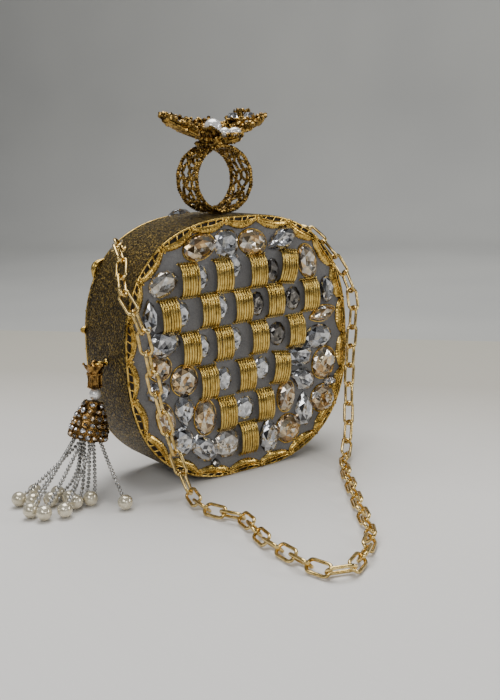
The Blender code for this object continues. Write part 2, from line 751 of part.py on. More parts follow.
def ring_mount():
    """The foot under the ring, and the screw and nut that hold it to the wall."""
    base = Vector((RING_X, 0, HEIGHT + GAP))
    foot = rod("ring_foot", FOOT_RADIUS, base, base + Vector((0, 0, FOOT_HEIGHT)), 20)
    cut(foot, rod("foot_cradle", RING_RADIUS + GAP, (RING_X, -RING_WIDTH, RING_Z),
                  (RING_X, RING_WIDTH, RING_Z), 64))
    down = Vector((0, 0, FOOT_HEIGHT))
    cut(foot, rod("foot_hole", SCREW + GAP, base - down, base + 2 * down, 12))
    finish(foot, antique_gold(), 30)
    head_top = RING_Z - RING_RADIUS + RING_WALL + 2 * GAP + HEAD_HEIGHT
    nut_z = HEIGHT - LINING_IN - LINING - GAP
    length = head_top - nut_z + NUT_HEIGHT + SCREW_PAST_NUT
    profile = [(0, 0), (SCREW_HEAD * 0.7, 0), (SCREW_HEAD, HEAD_HEIGHT / 2), (SCREW_HEAD, HEAD_HEIGHT),
               (SCREW, HEAD_HEIGHT), (SCREW, length), (0, length)]
    screw = turned("ring_screw", profile, Vector((RING_X, 0, head_top)), Vector((0, 0, -1)), 12)
    finish(settle(screw), antique_gold(), 30)
    nut = rod("ring_nut", NUT, (RING_X, 0, nut_z - NUT_HEIGHT), (RING_X, 0, nut_z), 6)
    cut(nut, rod("nut_hole", SCREW + GAP, (RING_X, 0, nut_z - 2 * NUT_HEIGHT),
                 (RING_X, 0, nut_z + NUT_HEIGHT), 12))
    finish(nut, steel(), 30)


def flower():
    """The cup of nugget petals with pearls and crystals."""
    centre = Vector((RING_X, 0, FLOWER_Z))
    lumps = bmesh.new()

    def lump(p, size, scale=(1, 1, 1)):
        made = bmesh.ops.create_icosphere(lumps, subdivisions=1, radius=size)
        spin = Matrix.Rotation(p.x * 900 + p.y * 400, 4, "Z")
        place = Matrix.Translation(p) @ spin @ Matrix.Diagonal((*scale, 1))
        bmesh.ops.transform(lumps, matrix=place, verts=made["verts"])

    for degrees, reach, lift in PETALS:
        bearing = math.radians(degrees)
        for share, size in PETAL_NUGGETS:
            r = reach * MM * share
            p = centre + Vector((r * math.cos(bearing), r * math.sin(bearing), r * lift))
            lump(p, size * MM, (1, 1, 0.72))
        for side in (-0.26, 0.26) if reach > PETAL_LONG else ():
            r = reach * MM * 0.72
            p = centre + Vector((r * math.cos(bearing + side), r * math.sin(bearing + side), r * lift))
            lump(p, SIDE_NUGGET, (1, 1, 0.8))
    ground = ball("flower_petals", CUP_RADIUS, centre, 2, (1, 1, CUP_FLAT))
    cut(ground, mesh_object("petal_lumps", lumps), "UNION", True)
    stem = rod("flower_stem", STEM, (RING_X, 0, FLOWER_Z - FLOWER_RISE - STEM / 2), centre, 12)
    cut(ground, stem, "UNION")
    cut(ground, rod("stem_cradle", RING_RADIUS + GAP, (RING_X, -RING_WIDTH, RING_Z),
                    (RING_X, RING_WIDTH, RING_Z), 64))
    top = centre + Vector((0.6 * MM, 0, CUP_RADIUS * CUP_FLAT + PEARL_LARGE - PEARL_SUNK))
    large = ball("flower_pearl_large", PEARL_LARGE, top)
    side = top + Vector(SMALL_FROM_LARGE) * MM
    small = ball("flower_pearl_small", PEARL_SMALL, side)
    oval = ball("flower_pearl_oval", PEARL_SMALL, centre + Vector(OVAL_PLACE) * MM, 2, (1.25, 0.8, 0.8))
    crystals = []
    for k, place in enumerate(CRYSTAL_PLACES):
        crystals.append(ball(f"flower_crystal_{k + 1}", CRYSTAL, centre + Vector(place) * MM, 1))
    room = bmesh.new()
    for obj in [large, small, oval] + crystals:
        copy = bmesh.new()
        copy.from_mesh(obj.data)
        middle = sum((v.co for v in copy.verts), Vector()) / len(copy.verts)
        for v in copy.verts:
            v.co += (v.co - middle).normalized() * GAP
        spare = bpy.data.meshes.new("spare")
        copy.to_mesh(spare)
        copy.free()
        room.from_mesh(spare)
        bpy.data.meshes.remove(spare)
    cut(ground, mesh_object("pearl_seats", room))
    finish(settle(ground), antique_gold(), 30)
    for obj in (large, small, oval):
        finish(obj, pearl(), 60)
    for obj in crystals:
        finish(obj, crystal())


def wall_point(x, inset=0.0):
    """Where the upper outline stands at x, and the way out of the wall there."""
    half_height = (HEIGHT + FOOT_DROP) / 2 - inset
    share = abs(x) / (WIDTH / 2 - inset)
    z = (HEIGHT - FOOT_DROP) / 2 + half_height * (1 - share ** CORNER_POWER) ** (1 / CORNER_POWER)
    across = math.copysign(share ** (CORNER_POWER - 1) / WIDTH, x)
    up = ((z - (HEIGHT - FOOT_DROP) / 2) / half_height) ** (CORNER_POWER - 1) / HEIGHT
    return z, Vector((across, 0, up)).normalized()


def eyelet(name, seat, out, ring, toward):
    """A small base on the wall with a ring standing out; gives the ring's middle and its axis."""
    base = rod(name, EYELET_BASE, seat + out * GAP, seat + out * (GAP + EYELET_PLATE), 12)
    middle = seat + out * (GAP + EYELET_PLATE / 2 + ring + EYELET_WIRE)
    side = toward - middle
    side = (side - out * side.dot(out)).normalized()
    up = out.cross(side)
    place = Matrix((out, side, up)).transposed()
    shape = bmesh.new()
    torus(shape, ring, EYELET_WIRE, Matrix.Translation(middle) @ place.to_4x4())
    cut(base, mesh_object(name + "_ring", shape), "UNION")
    finish(base, gold(), 40)
    return middle, up


def smooth_line(points, steps=24):
    """A fine smooth line through hand-chosen points."""
    line = []
    ends = [points[0]] + points + [points[-1]]
    for a, b, c, d in zip(ends, ends[1:], ends[2:], ends[3:]):
        for k in range(steps):
            t = k / steps
            line.append(0.5 * (2 * b + (c - a) * t + (2 * a - 5 * b + 4 * c - d) * t ** 2
                               + (3 * b - a - 3 * c + d) * t ** 3))
    line.append(points[-1])
    return line


def walk(line, step):
    """Points on a fine line, each a straight step from the last."""
    joints = [line[0]]
    for a, b in zip(line, line[1:]):
        while (b - joints[-1]).length >= step:
            low, high = 0.0, 1.0
            for _ in range(24):
                middle = (low + high) / 2
                if (a.lerp(b, middle) - joints[-1]).length < step:
                    low = middle
                else:
                    high = middle
            joints.append(a.lerp(b, high))
    return joints


def even_joints(points, pitch):
    """Joints along the route, with a whole number of links between its ends."""
    line = smooth_line(points)
    length = sum((b - a).length for a, b in zip(line, line[1:]))
    count = round(length / pitch)
    step = length / count
    for _ in range(8):
        joints = walk(line, step)[:count]
        step += ((line[-1] - joints[-1]).length - step) / count
    return joints[:count] + [line[-1]]


def link_sides(joints, ends):
    """The way across each link: a quarter turn from link to link, fitted to the eyelets at both ends."""
    along = [(b - a).normalized() for a, b in zip(joints, joints[1:])]
    count = len(along)
    middle = count // 2
    level = along[middle].cross(Vector((0, 0, 1))).normalized()
    sides = {middle: Matrix.Rotation(math.radians(45), 3, along[middle]) @ level}
    for step, stop in ((1, count), (-1, -1)):
        for k in range(middle + step, stop, step):
            sides[k] = along[k - step].rotation_difference(along[k]) @ sides[k - step]
    for k in range(count):
        sides[k] = Matrix.Rotation(math.pi / 2 * (k % 2), 3, along[k]) @ sides[k]
    for wanted, order in zip(ends, (range(count), range(count - 1, -1, -1))):
        first = order[0]
        twist = math.atan2(along[first].dot(sides[first].cross(wanted)), sides[first].dot(wanted))
        twist = (twist + math.pi / 2) % math.pi - math.pi / 2
        for n, k in enumerate(order[:FITTED_LINKS]):
            sides[k] = Matrix.Rotation(twist * (1 - n / FITTED_LINKS), 3, along[k]) @ sides[k]
    return [sides[k] for k in range(count)]


def link(shape, start, end, side):
    """Add one chain link to a bmesh, its long way from start to end."""
    along = (end - start).normalized()
    up = along.cross(side)
    wire = LINK_WIRE / 2
    half_length = LINK_LENGTH / 2 - wire
    half_width = LINK_WIDTH / 2 - wire
    middle = (start + end) / 2
    loops = []
    for k in range(LINK_STEPS):
        angle = 2 * math.pi * (k + 0.5) / LINK_STEPS
        bend = half_width
        p = along * (bend * math.cos(angle) + math.copysign(half_length - bend, math.cos(angle)))
        p = middle + p + side * (bend * math.sin(angle))
        out = (along * math.cos(angle) + side * math.sin(angle)).normalized()
        loop = []
        for j in range(4):
            turn = math.pi / 2 * j
            loop.append(shape.verts.new(p + (out * math.cos(turn) + up * math.sin(turn)) * wire))
        loops.append(loop)
    for a, b in zip(loops, loops[1:] + loops[:1]):
        for j in range(4):
            n = (j + 1) % 4
            shape.faces.new((a[j], b[j], b[n], a[n]))


def chain():
    """The link chain from one eyelet, over the table, to the other."""
    route = [Vector((x * LAYOUT_X, y, z)) * MM for x, y, z in CHAIN_ROUTE]
    pitch = LINK_LENGTH - 2 * LINK_WIRE + LINK_OVERLAP
    bend = (LINK_WIDTH - LINK_WIRE) / 2
    beyond = (LINK_LENGTH - LINK_WIRE) / 2 - bend * (1 - math.cos(math.pi / LINK_STEPS)) - pitch / 2
    ends = []
    axes = []
    for (name, (x, y)), nearest in zip(CHAIN_EYELETS.items(), (route[0], route[-1])):
        z, out = wall_point(x * MM * LAYOUT_X)
        seat = Vector((x * MM * LAYOUT_X, y * MM, z))
        middle, axis = eyelet(name, seat, out, EYELET, nearest)
        pull = (nearest - middle).normalized()
        ends.append(middle + pull * (EYELET - EYELET_WIRE - 2 * GAP - LINK_WIRE / 2 + beyond))
        axes.append(axis)
    joints = even_joints([ends[0]] + route + [ends[1]], pitch)
    sides = link_sides(joints, axes)
    sets = (bmesh.new(), bmesh.new())
    for k, (a, b) in enumerate(zip(joints, joints[1:])):
        link(sets[k % 2], a, b, sides[k])
    body = mesh_object("chain", sets[0])
    cut(body, mesh_object("chain_even_links", sets[1]), "UNION", exact=False)
    finish(settle(body), gold(), 40)


def strand_points(start, axis, pearl_middle, long):
    """A strand's points: out of the cap, then down and along the table to its pearl."""
    first = start + axis * CAP_RECESS
    ground = Vector((pearl_middle.x - first.x, pearl_middle.y - first.y, 0))
    if long:
        bend = (first + pearl_middle) / 2 - Vector((0, 0, STRAND))
        back = (bend - pearl_middle).normalized()
    else:
        bend = first + ground * 0.25
        bend.z = -3 * STRAND
        back = -ground.normalized() - Vector((0, 0, 0.2))
        back.normalize()
    last = pearl_middle + back * (END_PEARL + GAP)
    points = [start]
    for k in range(STRAND_POINTS):
        t = k / (STRAND_POINTS - 1)
        points.append(first * (1 - t) ** 2 + bend * 2 * t * (1 - t) + last * t ** 2)
    return points


def tassel():
    """Crown, pearl, bell cap, bead strands and end pearls, hanging from the left wall."""
    seat = Vector((-WIDTH / 2, TASSEL_Y, TASSEL_Z))
    out = Vector((-1, 0, 0))
    ahead = seat + Vector((0, WIDTH, 0))
    pivot = eyelet("tassel_eyelet", seat, out, TASSEL_EYELET, ahead)[0] + out * TASSEL_EYELET
    loop_middle = pivot - Vector((0, 0, LOOP - LOOP_WIRE - EYELET_WIRE - GAP))
    lean = Vector((-math.sin(TASSEL_LEAN), 0, -math.cos(TASSEL_LEAN)))
    crown_top = loop_middle + lean * (LOOP - LOOP_WIRE / 2)
    r = CROWN_RADIUS
    long = CROWN_LENGTH
    profile = [(0, 0), (r * 0.5, 0), (r, -0.8 * MM), (r * 1.02, 0.8 * MM), (r * 0.72, 3.6 * MM),
               (r * 0.70, long * 0.9), (r * 0.56, long), (0, long)]
    crown = turned("tassel_crown", profile, crown_top, lean, 10)
    ring = bmesh.new()
    torus(ring, LOOP, LOOP_WIRE, Matrix.Translation(loop_middle) @ Matrix.Rotation(math.pi / 2, 4, "X"))
    cut(crown, mesh_object("crown_loop", ring), "UNION")
    finish(crown, antique_gold(), 40)
    pearl_middle = crown_top + lean * (long + GAP + TASSEL_PEARL)
    finish(ball("tassel_pearl", TASSEL_PEARL, pearl_middle), pearl(), 60)
    axis = Vector((-math.sin(CAP_LEAN), 0, -math.cos(CAP_LEAN)))
    cap_top = pearl_middle + axis * (TASSEL_PEARL + GAP)
    r = CAP_RADIUS
    long = CAP_LENGTH
    ceiling = long - CAP_RECESS
    profile = [(0, 0), (r * 0.40, 0), (r * 0.56, long * 0.16), (r * 0.86, long * 0.52), (r, long * 0.84),
               (r * 0.96, long), (r * 0.86, long), (r * 0.86, ceiling), (0, ceiling)]
    finish(turned("tassel_cap", profile, cap_top, axis, 14), antique_gold(), 40)
    mouth = cap_top + axis * (ceiling + GAP)
    aside = Vector((0, 1, 0))
    across = axis.cross(aside).normalized()
    for group, (ends, radius, spread) in enumerate(((LONG_STRANDS, LONG_START, LONG_SPREAD),
                                                    (SHORT_STRANDS, SHORT_START, SHORT_SPREAD))):
        for k, (reach, bearing) in enumerate(ends):
            number = group * len(LONG_STRANDS) + k + 1
            angle = math.radians(STRAND_AIM + (k - (len(ends) - 1) / 2) * spread)
            start = mouth + (across * math.cos(angle) + aside * math.sin(angle)) * radius
            turn = math.radians(bearing)
            end = Vector((cap_top.x + axis.x * long + reach * MM * math.cos(turn),
                          TASSEL_Y + reach * MM * math.sin(turn), END_PEARL + LOW))
            points = strand_points(start, axis, end, group == 0)
            finish(tube(f"tassel_strand_{number:02d}", points, STRAND), bead(), 60)
            finish(ball(f"tassel_end_pearl_{number:02d}", END_PEARL, end), pearl(), 60)
    return pivot


def carry(name, place, pieces):
    """Hang the moving pieces from an empty on their joint's axis."""
    holder = bpy.data.objects.new(name, None)
    holder.location = place
    holder.empty_display_size = GAP * 10
    collection("clutch_bag").objects.link(holder)
    bpy.context.view_layer.update()
    for piece in pieces:
        piece.parent = holder
        piece.matrix_parent_inverse = holder.matrix_world.inverted()


def main():
    clear_scene()
    box_shell()
    lid_shell()
    face("front_face", -1)
    face("lid_face", 1)
    border("front_border", -1)
    border("lid_border", 1)
    hinge()
    magnets()
    ring_band()
    ring_mount()
    flower()
    chain()
    pivot = tassel()
    made = [obj for obj in collection("clutch_bag").objects]
    lid_names = ("lid_", "magnet_lid", "hinge_leaf_lid")
    carry("lid_axis", (0, HINGE_Y, HINGE_Z), [obj for obj in made if obj.name.startswith(lid_names)])
    tassel_names = ("tassel_crown", "tassel_pearl", "tassel_cap", "tassel_strand", "tassel_end_pearl")
    carry("tassel_axis", pivot, [obj for obj in made if obj.name.startswith(tassel_names)])


main()
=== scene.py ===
"""The looks of the clutch bag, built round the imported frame.

Metres, +Z up. The jewelled front faces -Y and the hinged back panel +Y.
"""
import random
from math import atan2, copysign, cos, pi, radians, sin

import bmesh
import bpy
from mathutils import Matrix, Vector


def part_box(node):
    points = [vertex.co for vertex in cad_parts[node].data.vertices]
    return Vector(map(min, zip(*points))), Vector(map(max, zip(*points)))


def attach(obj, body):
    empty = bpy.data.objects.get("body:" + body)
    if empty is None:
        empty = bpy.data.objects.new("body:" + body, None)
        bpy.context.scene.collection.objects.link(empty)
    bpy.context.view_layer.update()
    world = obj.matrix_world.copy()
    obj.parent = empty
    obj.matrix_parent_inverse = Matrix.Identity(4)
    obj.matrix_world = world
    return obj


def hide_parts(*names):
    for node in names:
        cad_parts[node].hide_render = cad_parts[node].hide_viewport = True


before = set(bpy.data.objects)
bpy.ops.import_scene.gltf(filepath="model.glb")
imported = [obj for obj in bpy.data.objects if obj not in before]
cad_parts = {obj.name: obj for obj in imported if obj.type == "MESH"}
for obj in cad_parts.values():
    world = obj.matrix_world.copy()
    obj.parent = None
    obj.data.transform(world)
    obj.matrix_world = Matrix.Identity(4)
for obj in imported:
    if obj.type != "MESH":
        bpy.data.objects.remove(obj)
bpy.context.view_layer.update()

MM = 0.001

# Sizes, the main ones as in the frame's part
WIDTH = 150.0 * MM
HEIGHT = 148.0 * MM
WALL = 20.8 * MM
CORNER_POWER = 2.5
OUTLINE_STEPS = 240
FOOT_DROP = 1.0 * MM
GAP = 0.3 * MM
WRAP = 0.8 * MM
WRAP_EDGE = 0.25 * MM
SHEET_BEVEL = 0.25 * MM
FRAME_IN = 1.1 * MM
FACE_BACK = 23.0 * MM
FACE_FRONT = 24.0 * MM
LID_FLOOR = 4.8 * MM
LEAVES = 22
LEAF_PHASE = 9
LEAF_STEPS = 24
LEAF_EDGE = 0.36 * MM
LEAF_STRUT = 0.42 * MM
LEAF_GRAIN = 0.60 * MM
ARCH_WIDTH = 11.4 * MM
ARCH_HEIGHT = 19.2 * MM
ARCH_RISE = 5.4 * MM
ARCH_BARS = 7
STONE_RISE = 4.6 * MM
STONE_FILL = 1.09
STONE_RIM = 0.42 * MM
LOW_STONE = 0.55
CREST_Z = 142
CREST_BACK = 0.7 * MM
CREST_RISE = 2.2 * MM
WIRE_FILL = 0.96
HOOK_WIRE = 0.36 * MM
RING_X = 2.0 * MM
RING_RADIUS = 18.7 * MM
RING_WALL = 1.9 * MM
RING_WIDTH = 22.8 * MM
RING_Z = 167.7 * MM
RING_ROPE = 1.15 * MM
RING_STEPS = 180
RING_STRUTS = 18
RING_LEVELS = (-1.0, -0.50, 0.02, 0.52, 1.0)
RING_WAVES = (7, 9, 8)
SETTING_WIRE = 0.42 * MM
SETTING_PITCH = 2.0 * MM
CRYSTAL = 6.9 * MM
STEM = 3.4 * MM
FLOWER_Z = 190.0 * MM
PETALS = ((180, 31, 0.40), (226, 18, 0.36), (268, 13, -0.04), (304, 17, 0.02), (350, 32, 0.32),
          (22, 32, 0.42), (70, 22, 0.50), (112, 20, 0.60), (150, 26, 0.46))
FRONT_LEFT = Vector((-0.5415, -0.815, 0.2062))
PETAL_WIDTH = 7.6 * MM
PETAL_THICK = 1.1 * MM
MIDDLE_LUMPS = 80
PEARL_LARGE = 5.2 * MM
PEARL_SMALL = 3.4 * MM
LINK_LENGTH = 14.5 * MM
LINK_WIDTH = 8.0 * MM
LINK_WIRE = 1.8 * MM
LINK_STEPS = 6
LINK_OVERLAP = 0.6 * MM
FITTED_LINKS = 8
EYELET = 3.4 * MM
EYELET_WIRE = 0.7 * MM
EYELET_BASE = 2.2 * MM
EYELET_PLATE = 1.1 * MM
TASSEL_EYELET = 2.8 * MM
TASSEL_Y = -1.0 * MM
TASSEL_Z = 72.9 * MM
LOOP = 1.9 * MM
LOOP_WIRE = 0.6 * MM
TASSEL_LEAN = radians(3.4)
CAP_LEAN = radians(16.0)
CROWN_LENGTH = 11.2 * MM
CROWN_RADIUS = 5.2 * MM
CROWN_POINTS = 5
CROWN_RIBS = 6
TASSEL_PEARL = 3.4 * MM
CAP_LENGTH = 20.6 * MM
CAP_RADIUS = 10.2 * MM
CAP_RECESS = 4.0 * MM
CAP_CEILING = CAP_LENGTH - CAP_RECESS
CAP_ROWS = ((0.09, 6), (0.26, 10), (0.43, 13), (0.60, 15), (0.77, 16), (0.93, 17))
STRAND = 2.0 * MM
BEAD_PITCH = 2.2 * MM
BEAD_FILL = 1.18
END_PEARL = 4.1 * MM
END_TIP = 0.75 * MM
LONG_START = 7.1 * MM
SHORT_START = 3.9 * MM
LONG_SPREAD = 50.0
SHORT_SPREAD = 42.0
STRAND_AIM = 197.0
LOW = 0.3 * MM
TABLE_END = 0.368
TABLE_LIP = 0.004
COVE_START = 1.15
COVE = 0.25
WALL_TOP = 3.5
STAGE_REACH = 4.0

# Seeds of the random draws; the back face takes the next number
JEWEL_SEED = 11
BORDER_SEED = 21
RING_SEED = 31
FLOWER_SEED = 5
CAP_SEED = 9

# Arches: middle of each in millimetres, seen from the front, with its turn in degrees
ARCHES = [
    (-33.8, 115.6, 0), (-11.8, 115.6, 0), (11.2, 115.8, 0), (32.4, 116.2, -8),
    (-47.2, 97.4, 3), (-22.0, 97.4, 0), (0.0, 97.4, 0), (22.2, 97.6, 0), (47.8, 97.6, 0),
    (-35.4, 77.6, 0), (-14.0, 77.6, 0), (10.0, 77.6, 0), (36.4, 77.8, 0),
    (-25.2, 57.0, 0), (0.2, 57.0, 0), (24.4, 57.4, -8),
    (-14.2, 37.2, 0), (12.2, 37.2, 0), (-0.5, 19.9, 0),
]

# Stones: middle, width, height, turn, cut and tint
STONES = [
    (-25.8, 116.2, 10.4, 14.0, 0, "oval", "glass"), (-3.6, 120.4, 10.4, 14.0, 0, "oval", "glass"),
    (22.6, 115.0, 9.0, 14.0, 0, "oval", "smoke"), (-38.9, 97.4, 10.4, 14.2, 0, "oval", "glass"),
    (-13.8, 98.4, 10.2, 14.2, 0, "oval", "glass"), (10.8, 97.0, 9.6, 14.2, 0, "oval", "smoke"),
    (36.2, 97.0, 11.2, 14.2, 0, "oval", "smoke"), (-27.2, 77.8, 10.4, 14.0, 0, "oval", "glass"),
    (-5.6, 78.8, 10.2, 14.0, 0, "oval", "glass"), (24.0, 77.6, 12.0, 14.2, 0, "oval", "smoke"),
    (-14.0, 57.2, 10.6, 14.2, 0, "oval", "glass"), (12.2, 59.2, 11.0, 14.0, 0, "oval", "glass"),
    (-0.6, 37.6, 12.6, 14.4, 0, "oval", "glass"), (-25.6, 132.8, 19.0, 12.8, 15, "oval", "gold"),
    (-8.2, 133.2, 14.5, 14.6, 0, "cushion", "clear"), (9.4, 132.4, 17.4, 13.2, -15, "oval", "gold"),
    (29.4, 132.0, 19.6, 11.8, 20, "pear_left", "clear"), (47.4, 117.6, 12.0, 19.0, 15, "oval", "gold"),
    (61.0, 99.2, 9.2, 15.0, 0, "oval", "clear"), (57.6, 85.2, 17.6, 8.8, 12, "marquise", "gold"),
    (53.8, 71.8, 19.0, 13.8, 0, "oval", "clear"), (39.4, 62.2, 16.8, 12.2, -5, "cushion", "clear"),
    (57.4, 55.0, 15.6, 18.2, -25, "oval", "gold"), (40.8, 48.0, 18.0, 12.6, -30, "pear_left", "clear"),
    (55.8, 33.2, 16.4, 15.8, 0, "oval", "gold"), (28.4, 39.4, 11.6, 17.6, -8, "oval", "gold"),
    (41.2, 29.2, 12.6, 19.6, 0, "pear_up", "clear"), (29.0, 19.4, 15.8, 16.0, 20, "oval", "gold"),
    (14.9, 18.2, 13.2, 20.0, 0, "pear_up", "clear"), (-14.2, 19.4, 16.4, 16.6, 0, "oval", "opal"),
    (-29.8, 19.4, 19.0, 12.6, -45, "oval", "clear"), (-44.2, 26.0, 15.2, 15.8, 0, "oval", "clear"),
    (-28.0, 37.4, 13.0, 19.0, 0, "oval", "gold"), (-41.0, 43.4, 11.8, 18.0, 0, "pear_down", "clear"),
    (-53.2, 40.8, 9.8, 17.6, 12, "oval", "gold"), (-40.0, 60.6, 15.4, 16.0, 0, "oval", "gold"),
    (-54.8, 69.8, 13.4, 13.2, 0, "oval", "gold"), (-56.6, 56.8, 13.6, 11.8, 0, "oval", "clear"),
    (-51.2, 82.6, 19.0, 13.8, 0, "oval", "clear"), (-58.8, 98.6, 9.4, 17.8, 0, "pear_up", "clear"),
    (-49.2, 115.2, 17.8, 12.8, 20, "oval", "opal"), (61.0, 43.2, 8.0, 5.4, 0, "oval", "clear"),
    (-22.6, 8.6, 5.6, 6.0, 45, "cushion", "smoke"),
]
BACK_CREST = [(8.6, 144.4, 17.0, 13.0, 0, "oval", "glass"), (-7.0, 143.8, 10.0, 9.4, 0, "oval", "glass")]

# The chain's route over the front and the table, in millimetres
CHAIN_ROUTE = [Vector(p) * MM for p in [
    (-62.6, 3.0, 136.4), (-65.4, -6.0, 134.0), (-67.6, -14.0, 127.4), (-72.4, -21.0, 119.6),
    (-75.4, -29.0, 112.0), (-72.6, -34.0, 104.0), (-69.4, -35.0, 94.0), (-67.8, -35.2, 84.0),
    (-66.2, -35.4, 73.4), (-64.4, -35.6, 62.5), (-62.2, -36.0, 51.0), (-59.6, -36.6, 39.5),
    (-57.2, -38.0, 28.0), (-55.2, -40.4, 18.5), (-54.6, -44.0, 10.4), (-54.8, -50.0, 5.2),
    (-56.5, -58.0, 3.8), (-58.4, -67.0, 3.8), (-57.1, -76.0, 3.8), (-54.0, -85.0, 3.8),
    (-50.6, -93.0, 3.8), (-52.0, -102.0, 3.8), (-56.6, -115.0, 3.8), (-59.4, -128.0, 3.8),
    (-60.0, -141.0, 3.8), (-60.4, -153.0, 3.8), (-60.0, -164.0, 3.8), (-57.4, -173.6, 3.8),
    (-51.0, -177.4, 3.8), (-42.0, -173.4, 3.8), (-31.0, -165.5, 3.8), (-20.0, -156.4, 3.8),
    (-10.5, -143.1, 3.8), (-1.5, -127.9, 3.8), (7.6, -113.2, 3.8), (18.3, -96.2, 3.8),
    (28.8, -79.3, 3.8), (41.6, -61.0, 3.8), (52.0, -50.0, 4.6), (58.4, -44.0, 9.6),
    (62.4, -40.4, 17.7), (65.4, -37.4, 28.7), (67.6, -35.4, 40.0), (69.8, -34.0, 51.1),
    (71.8, -33.0, 62.7), (74.0, -32.2, 74.2), (75.8, -31.6, 84.2), (78.0, -29.4, 92.0),
    (79.4, -24.0, 100.0), (78.2, -20.0, 108.0), (74.8, -17.0, 116.0), (70.6, -13.0, 124.0),
    (66.6, -7.0, 131.0), (62.6, 1.0, 136.4),
]]
CHAIN_EYELETS = {"chain_eyelet_left": (-54.6, 8.0), "chain_eyelet_right": (54.6, 6.0)}

# Tassel strands: reach in millimetres and bearing in degrees of each end pearl
LONG_STRANDS = [(40, 168), (34, 178), (43, 197), (42.5, 209.5), (36, 222), (35, 275)]
SHORT_STRANDS = [(31, 152), (19, 170), (26, 188), (19, 206), (24, 224), (19, 243)]

AMBER = (0.72, 0.40, 0.09)
# Facet colours of each stone kind: the stone's own colour, while the spread from near-white to near-black
# facets is painted glints and painted dark reflections
TINTS_AND_GLINTS = {
    "glass": [(0.66, 0.67, 0.69), (0.52, 0.53, 0.55), (0.82, 0.83, 0.85), (0.38, 0.385, 0.40),
              (0.60, 0.60, 0.59)],
    "clear": [(0.93, 0.94, 0.96), (0.78, 0.79, 0.82), (0.52, 0.53, 0.55), (0.24, 0.24, 0.25),
              (0.90, 0.89, 0.85), (0.10, 0.10, 0.11), (0.66, 0.68, 0.72)],
    "gold": [(0.95, 0.80, 0.56), (0.84, 0.58, 0.28), (0.93, 0.88, 0.78), (0.56, 0.33, 0.12),
             (0.70, 0.62, 0.52), (0.34, 0.20, 0.08), (0.90, 0.70, 0.44)],
    "smoke": [(0.13, 0.12, 0.11), (0.24, 0.22, 0.20), (0.07, 0.06, 0.05), (0.40, 0.37, 0.33),
              (0.17, 0.15, 0.12)],
    "opal": [(0.86, 0.82, 0.74), (0.74, 0.66, 0.54), (0.90, 0.89, 0.86), (0.60, 0.54, 0.46)],
    "mirror": [(0.95, 0.95, 0.97), (0.60, 0.60, 0.63), (0.80, 0.80, 0.82), (0.25, 0.25, 0.26)],
}


def camera():
    """The photograph's camera, fitted to the object's measured points."""
    data = bpy.data.cameras.new("camera")
    data.sensor_width = 36.0
    data.lens = 52.77
    data.clip_start = 0.01
    obj = bpy.data.objects.new("camera", data)
    bpy.context.scene.collection.objects.link(obj)
    right = Vector((0.8266, -0.5609, -0.0461))
    up = Vector((0.1532, 0.1454, 0.9774))
    ahead = Vector((0.5415, 0.8150, -0.2062))
    turn = Matrix((right, up, -ahead)).transposed().to_4x4()
    obj.matrix_world = Matrix.Translation((-0.3141, -0.5040, 0.1921)) @ turn
    bpy.context.scene.camera = obj


# Metals: dark tone, bright tone, roughness and height of the dents
METALS = {
    "gold": ((0.20, 0.112, 0.016), (0.72, 0.49, 0.13), 0.20, 0.00006),
    "wire": ((0.36, 0.235, 0.052), (0.68, 0.50, 0.155), 0.22, 0.000004),
    "chain_gold": ((0.42, 0.28, 0.080), (0.82, 0.61, 0.25), 0.13, 0.00004),
    "antique": ((0.040, 0.020, 0.004), (0.44, 0.275, 0.072), 0.25, 0.00008),
    "bronze": ((0.022, 0.010, 0.004), (0.38, 0.215, 0.062), 0.22, 0.00014),
}
# The material slots of the looks that have another name than their slot
SLOTS = {"cloth": "glitter_fabric", "backing": "felt", "wire": "gold", "chain_gold": "gold",
         "antique": "antique_gold", "bronze": "antique_gold", "white_pearl": "pearl", "bead": "seed_bead",
         "stone": "crystal"}
# The looks of the CAD nodes that the scene keeps
NODE_LOOKS = {
    "board": ("box_frame", "front_board", "lid_board"),
    "lining": ("box_lining", "front_lining", "lid_lining"),
    "steel": ("hinge_leaf_box", "hinge_leaf_lid", "hinge_pin", "magnet_box", "magnet_lid", "ring_nut"),
    "antique": ("ring_foot", "ring_screw"),
}


